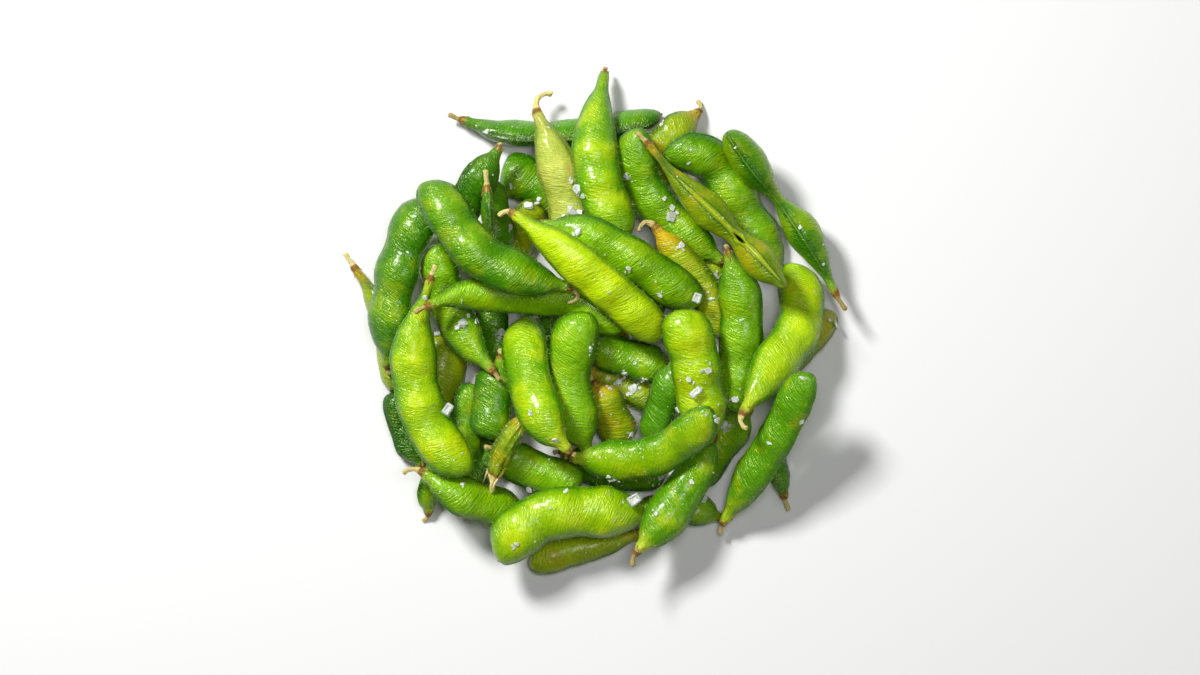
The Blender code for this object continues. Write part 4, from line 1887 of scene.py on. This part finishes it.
    def _large_flakes(self, tree: BVHTree, high: Vector, material: bpy.types.Material) -> list:
        """Lays the large flakes where they fell.

        Args:
            tree: The heap.
            high: The heap's highest corner.
            material: The salt's finish.

        Returns:
            The pieces, one for each crystal shape.
        """
        random = np.random.default_rng(12)
        lying = [([], [], [], []) for _ in range(self.kinds)]
        for number, (x, y, size) in enumerate(self.large):
            x, y = (x + self.middle[0]) * MM, (y + self.middle[1]) * MM
            hit, normal = look_down(tree, x, y, high.z)
            if hit is None or hit.z < self.lowest * MM or hit.z > high.z - self.flake_headroom * MM:
                continue
            for chip in range(1 + self.chips):
                top = unit(np.array(normal) + random.uniform(-0.45, 0.45, 3))
                heading = unit(np.cross(top, random.uniform(-1, 1, 3)))
                width = size if chip == 0 else size * random.uniform(*self.chip_width)
                place = np.array(hit)
                if chip > 0:
                    aside = heading * size * random.uniform(*self.chip_reach) * MM
                    landed, slope = look_down(tree, hit.x + aside[0], hit.y + aside[1], high.z)
                    if landed is None or slope.z < self.chip_steepest:
                        continue
                    if abs(landed.z - hit.z) > 1.5 * size * MM:
                        continue
                    place = np.array(landed)
                    top = unit(np.array(slope) + random.uniform(-0.3, 0.3, 3))
                points, along, outward, widths = lying[(2 * number + chip) % self.kinds]
                points.append(place + top * width * 0.12 * MM)
                along.append(heading)
                outward.append(top)
                widths.append(width)
        pieces = []
        for number, (points, along, outward, widths) in enumerate(lying):
            mesh = pointed_mesh(f"large_{number}", points, along, outward, widths)
            shape = crystal(f"flake_{number}", 70 + number, facets=6)
            sizes = {"Smallest": (1.0, 0.8, 0.25), "Largest": (1.5, 1.2, 0.5)}
            inputs = {"Shape": shape, "Seed": number, **sizes}
            pieces.append(grow(f"large_salt_{number}", mesh, setting_tree(material), inputs))
            bpy.data.objects.remove(shape)
        return pieces

    @classmethod
    def large_flake(cls, node: bpy.types.Object, material: bpy.types.Material) -> bpy.types.Object:
        """Makes a large flake of its solid, with worn edges and a hopper's steps.

        Args:
            node: The flake's solid.
            material: The salt's finish.

        Returns:
            The piece.
        """
        bm = bmesh.new()
        bm.from_mesh(node.data)
        bmesh.ops.remove_doubles(bm, verts=bm.verts, dist=WELD)
        bmesh.ops.dissolve_limit(bm, angle_limit=0.02, verts=bm.verts, edges=bm.edges)
        worn = {"offset": cls.EDGE_WEAR, "segments": 2, "affect": "EDGES", "clamp_overlap": True}
        bmesh.ops.bevel(bm, geom=list(bm.edges), **worn)
        top = max(bm.faces, key=lambda face: face.calc_center_median().z * (face.calc_area() > 1e-6))
        for depth in cls.STEP_DEPTHS:
            bmesh.ops.inset_individual(bm, faces=[top], thickness=cls.STEP_WIDTH, depth=-depth)
        bmesh.ops.triangulate(bm, faces=bm.faces)
        mesh = worked_mesh(bm, f"{node.name}_crystal")
        mesh.materials.append(material)
        return in_scene(mesh, mesh.name)


@dataclass
class Sepals:
    """The small dry teeth of each pod's calyx, in millimetres.

    Attributes:
        teeth: How many there are around a calyx.
        length: How long one is.
        width: How wide it is.
        thickness: How thick it is.
        low: How low a calyx lies where the teeth under it are left out.
    """

    teeth: int = 5
    length: float = 2.6
    width: float = 1.25
    thickness: float = 0.16
    low: float = 2.2

    def tooth(self) -> bpy.types.Object:
        """Makes one tooth, which points along +X and curls up from the pod.

        Returns:
            The tooth, outside the scene.
        """
        bm = bmesh.new()
        bmesh.ops.create_grid(bm, x_segments=5, y_segments=2, size=0.5)
        for vertex in bm.verts:
            along, side = vertex.co.x + 0.5, vertex.co.y * 2
            taper = (1 - along**1.6) * 0.96 + 0.04
            lift = 0.10 + 0.45 * along**3 - 0.18 * side**2 * taper
            vertex.co = (along * self.length, side * taper * self.width / 2, lift)
        bmesh.ops.solidify(bm, geom=list(bm.faces), thickness=self.thickness)
        bmesh.ops.recalc_face_normals(bm, faces=bm.faces)
        bmesh.ops.scale(bm, vec=(MM, MM, MM), verts=bm.verts)
        mesh = worked_mesh(bm, "tooth")
        mesh.shade_smooth()
        return bpy.data.objects.new("tooth", mesh)

    def build(self, pods: list[PodBuilder], material: bpy.types.Material) -> bpy.types.Object:
        """Sets the teeth around every pod's calyx.

        Args:
            pods: The pods.
            material: The teeth's finish.

        Returns:
            The piece.
        """
        random = np.random.default_rng(3)
        places, along, outward = [], [], []
        for pod in pods:
            side = unit(np.cross(pod.calyx_axis, (0.31, 0.22, 0.93)))
            other = np.cross(pod.calyx_axis, side)
            for tooth in range(self.teeth):
                turn = 2 * math.pi * (tooth + random.uniform(-0.15, 0.15)) / self.teeth
                out = math.cos(turn) * side + math.sin(turn) * other
                if pod.calyx_place[2] < self.low and out[2] < -0.3:
                    continue
                root = pod.calyx_place + out * pod.calyx_radius * 0.86 - pod.calyx_axis * 0.9
                places.append(root * MM)
                along.append(unit(pod.calyx_axis + 0.10 * out))
                outward.append(out)
        mesh = pointed_mesh("calyxes", places, along, outward)
        tooth = self.tooth()
        sizes = {"Smallest": (0.7, 0.8, 0.5), "Largest": (1.25, 1.15, 1.6)}
        inputs = {"Shape": tooth, "Seed": 2, **sizes}
        piece = grow("calyx_sepals", mesh, setting_tree(material), inputs)
        bpy.data.objects.remove(tooth)
        return piece


@dataclass
class Hairs:
    """The fine pale hairs that stand on the pods, in millimetres.

    Attributes:
        on_each: How many there are on a pod.
        length: How long the longest is.
        radius: Its half thickness at the root.
        near_seam: How far from a seam most of them stand.
        lowest: How high above the floor they stand at least.
    """

    SIDES = 3

    on_each: int = 90
    length: float = 1.5
    radius: float = 0.045
    near_seam: float = 1.6
    lowest: float = 2.0

    def _hair(self) -> bpy.types.Object:
        """Makes one hair, which points along +X and bends.

        Returns:
            The hair, outside the scene.
        """
        bm = bmesh.new()
        rings = []
        for share in (0.0, 0.5):
            ring = []
            reach = self.radius * (1 - 0.5 * share)
            for corner in range(self.SIDES):
                turn = 2 * math.pi * corner / self.SIDES
                across, up = reach * math.cos(turn), reach * math.sin(turn) + 0.25 * share**2
                place = (share * self.length, across, up)
                ring.append(bm.verts.new([value * MM for value in place]))
            rings.append(ring)
        tip = bm.verts.new((self.length * 0.95 * MM, 0, 0.3 * MM))
        for k in range(self.SIDES):
            after = (k + 1) % self.SIDES
            bm.faces.new((rings[0][k], rings[0][after], rings[1][after], rings[1][k]))
            bm.faces.new((rings[1][k], rings[1][after], tip))
        bm.faces.new(rings[0][::-1])
        bmesh.ops.recalc_face_normals(bm, faces=bm.faces)
        return bpy.data.objects.new("hair", worked_mesh(bm, "hair"))

    def build(self, pods: list[PodBuilder], material: bpy.types.Material) -> bpy.types.Object:
        """Stands the hairs on the pods.

        Args:
            pods: The pods.
            material: The hairs' finish.

        Returns:
            The piece.
        """
        random = np.random.default_rng(8)
        points, along, outward = [], [], []
        for pod in pods:
            rows, columns, _ = pod.points.shape
            normal = pod.outward
            for _ in range(self.on_each):
                row = int(random.integers(int(rows * 0.15), rows - 6))
                tries = random.integers(0, columns, 6)
                column = int(min(tries, key=lambda k: max(pod.from_seam[row, k] - self.near_seam, 0)))
                place = pod.points[row, column] - 0.05 * normal[row, column]
                if place[2] < self.lowest:
                    continue
                points.append(place * MM)
                heading = normal[row, column] + random.uniform(-0.5, 0.5, 3)
                along.append(unit(heading + 0.4 * pod.forward[row]))
                outward.append(unit(random.uniform(-1, 1, 3)))
        mesh = pointed_mesh("hair_roots", points, along, outward)
        hair = self._hair()
        sizes = {"Smallest": (0.45, 0.7, 0.7), "Largest": (1.15, 1.2, 1.2)}
        inputs = {"Shape": hair, "Seed": 6, **sizes}
        piece = grow("fine_hairs", mesh, setting_tree(material), inputs)
        bpy.data.objects.remove(hair)
        return piece


@dataclass
class Thorn:
    """A thin, dry, pointed end that stands beside a shrivelled pod's own, in millimetres.

    Attributes:
        leaves_at: Where it leaves the pod, as a share of the pod's length.
        aside: How far from the pod's middle it starts.
        length: How long it is.
        radius: Its half thickness where it starts.
    """

    SIDES = 8

    leaves_at: float = 0.74
    aside: float = 1.9
    length: float = 8.5
    radius: float = 0.6

    def build(self, pod: PodBuilder, material: bpy.types.Material) -> bpy.types.Object:
        """Draws the thorn out of the pod's side.

        Args:
            pod: The pod.
            material: Its finish.

        Returns:
            The piece.
        """
        start = int(np.searchsorted(pod.at, self.leaves_at * pod.total))
        ahead, side = pod.forward[start], pod.seam[start]
        side = side if np.cross(ahead, side)[2] < 0 else -side
        root = pod.centre[start] + side * self.aside
        bm = bmesh.new()
        rings = []
        for share in np.linspace(0, 1, 12):
            middle = root + ahead * self.length * share + side * (0.9 * share - 0.7 * share**2)
            reach = self.radius * (1 - share**1.5) + 0.1
            ring = []
            for corner in range(self.SIDES):
                turn = 2 * math.pi * corner / self.SIDES
                spoke = math.cos(turn) * side + 0.6 * math.sin(turn) * np.cross(ahead, side)
                ring.append(bm.verts.new((middle + reach * (1 + 0.2 * math.cos(3 * turn)) * spoke) * MM))
            rings.append(ring)
        for first, second in zip(rings, rings[1:]):
            for k in range(self.SIDES):
                after = (k + 1) % self.SIDES
                bm.faces.new((first[k], first[after], second[after], second[k]))
        bm.faces.new(rings[0][::-1])
        bm.faces.new(rings[-1])
        bmesh.ops.recalc_face_normals(bm, faces=bm.faces)
        mesh = worked_mesh(bm, "split_tip")
        mesh.materials.append(material)
        mesh.shade_smooth()
        return in_scene(mesh, "split_tip")


@dataclass(frozen=True)
class Lamp:
    """A soft square lamp that faces the heap.

    Attributes:
        name: Its name.
        place: Where it hangs, in metres.
        size: The side of its face, in metres.
        power: Its power in watts.
    """

    name: str
    place: tuple[float, float, float]
    size: float
    power: float


class Studio:
    """The floor, the lights and the camera, in metres."""

    LAMPS = (
        Lamp("key_light", (-0.42, 0.50, 0.74), 0.20, 13.6),
        Lamp("top_light", (0.10, 0.06, 0.98), 0.30, 3.4),
        Lamp("side_light", (0.62, -0.30, 0.55), 0.35, 0.8),
    )
    ROOM_COLOUR = (0.95, 0.97, 1.0, 1)
    ROOM_STRENGTH = 0.03
    FLOOR_REACH = 3.0
    CAMERA_PLACE = (0.0018, -0.0055, 1.4)
    FARTHEST_SEEN = 10.0
    FRAME_WIDTH = 0.384
    SENSOR = 36.0

    def __init__(self, low: Vector, high: Vector) -> None:
        """Takes the size of the heap.

        Args:
            low: The heap's lowest corner.
            high: Its highest corner.
        """
        self.low, self.high = low, high

    def build(self, floor: bpy.types.Material) -> None:
        """Makes the floor, the lights and the camera.

        Args:
            floor: The floor's finish.
        """
        self._floor(floor)
        for lamp in self.LAMPS:
            self._light(lamp)
        world = bpy.data.worlds.new("pale_room")
        bpy.context.scene.world = world
        world.use_nodes = True
        background = world.node_tree.nodes["Background"]
        background.inputs["Color"].default_value = self.ROOM_COLOUR
        background.inputs["Strength"].default_value = self.ROOM_STRENGTH
        bpy.context.scene.view_settings.view_transform = "Standard"
        self._camera()

    def _floor(self, material: bpy.types.Material) -> None:
        """Makes the floor.

        Args:
            material: Its finish.
        """
        bm = bmesh.new()
        bmesh.ops.create_grid(bm, x_segments=1, y_segments=1, size=self.FLOOR_REACH)
        mesh = worked_mesh(bm, "floor")
        mesh.materials.append(material)
        in_scene(mesh, "floor")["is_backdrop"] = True

    @staticmethod
    def _light(lamp: Lamp) -> None:
        """Hangs a lamp.

        Args:
            lamp: The lamp.
        """
        data = bpy.data.lights.new(lamp.name, "AREA")
        data.size = lamp.size
        data.energy = lamp.power
        light = bpy.data.objects.new(lamp.name, data)
        light.location = lamp.place
        light.rotation_euler = (-Vector(lamp.place)).to_track_quat("-Z", "Y").to_euler()
        bpy.context.scene.collection.objects.link(light)

    def _camera(self) -> None:
        """Makes the camera, straight above the heap."""
        data = bpy.data.cameras.new("camera")
        middle = (self.low.z + self.high.z) / 2
        data.sensor_width = self.SENSOR
        data.lens = self.SENSOR * (self.CAMERA_PLACE[2] - middle) / self.FRAME_WIDTH
        data.clip_end = self.FARTHEST_SEEN
        camera = bpy.data.objects.new("camera", data)
        camera.location = self.CAMERA_PLACE
        bpy.context.scene.collection.objects.link(camera)
        bpy.context.scene.camera = camera


class Bundle:
    """The whole dressed bundle, in millimetres."""

    MIDDLE = (1.8, -0.9)
    QUICK_SPACING = 0.7
    QUICK_AROUND = 40

    def __init__(self, frame: dict) -> None:
        """Takes the frame.

        Args:
            frame: The loaded frame.
        """
        self.nodes = frame["nodes"]
        self.slots = {part["node"]: part["material_slot"] for part in frame["record"]["subparts"]}
        self.low, self.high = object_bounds()
        self.finishes = Finishes(SharedEffects())
        self.pods: list[PodBuilder] = []

    def build(self) -> None:
        """Makes and dresses every piece."""
        skins = [self._pod(name) for name in sorted(self.nodes) if name.startswith("pod_")]
        heap = self._heap(skins)
        for name in sorted(self.nodes):
            if name.startswith("salt_"):
                flake = Salt.large_flake(self.nodes[name], self.finishes.salt)
                self._place(flake, "salt", name)
        for piece in Salt(middle=self.MIDDLE).build(heap, self.low, self.high, self.finishes.salt):
            self._place(piece, "salt")
        self._place(Hairs().build(self.pods, self.finishes.hair), Tone.PALE.value)
        shrivelled = next(pod for pod in self.pods if pod.name == SHRIVELLED)
        self._place(Thorn().build(shrivelled, self.finishes.husk), Tone.PALE.value)
        self._place(Sepals().build(self.pods, self.finishes.sepal), Tone.OLIVE.value)

    def _pod(self, name: str) -> bpy.types.Object:
        """Makes one pod.

        Args:
            name: Its node.

        Returns:
            Its piece.
        """
        tone = Tone(self.slots[name])
        # A pod's lightness: partly its tone, partly painted light and painted shade.
        habit = replace(HABITS.get(name, Habit()), shade=TONES_AND_PAINTED_LIGHT.get(name, 0.0))
        builder = PodBuilder(name, habit, box=(self.low, self.high))
        piece = builder.build(self.nodes[name], self.finishes.pods[tone])
        self.pods.append(builder)
        self._place(piece, tone.value, name)
        return piece

    def _place(self, piece: bpy.types.Object, slot: str, *nodes: str) -> None:
        """Keeps a piece in the heap's box, attaches it to its body, and hides the nodes that it replaces.

        Args:
            piece: The piece.
            slot: Its material slot. It is not used.
            *nodes: The nodes that it replaces.
        """
        keep_within(piece, self.low, self.high)
        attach(piece, BODY)
        if nodes:
            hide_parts(*nodes)
        LOG.info("%s: %d faces", piece.name, len(piece.data.polygons))

    @staticmethod
    def _heap(skins: list[bpy.types.Object]) -> BVHTree:
        """Joins the skins into one tree for finding what lies on top.

        Args:
            skins: The pods' pieces.

        Returns:
            The tree.
        """
        vertices, faces = [], []
        for skin in skins:
            base = len(vertices)
            vertices.extend(vertex.co.copy() for vertex in skin.data.vertices)
            faces.extend([base + k for k in polygon.vertices] for polygon in skin.data.polygons)
        return BVHTree.FromPolygons(vertices, faces)


def main() -> None:
    """Builds the scene."""
    logging.basicConfig(level=logging.INFO, format="%(message)s")
    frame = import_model()
    solid_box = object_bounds()
    bundle = Bundle(frame)
    bundle.build()
    Studio(*solid_box).build(bundle.finishes.floor)


if __name__ == "__main__":
    main()
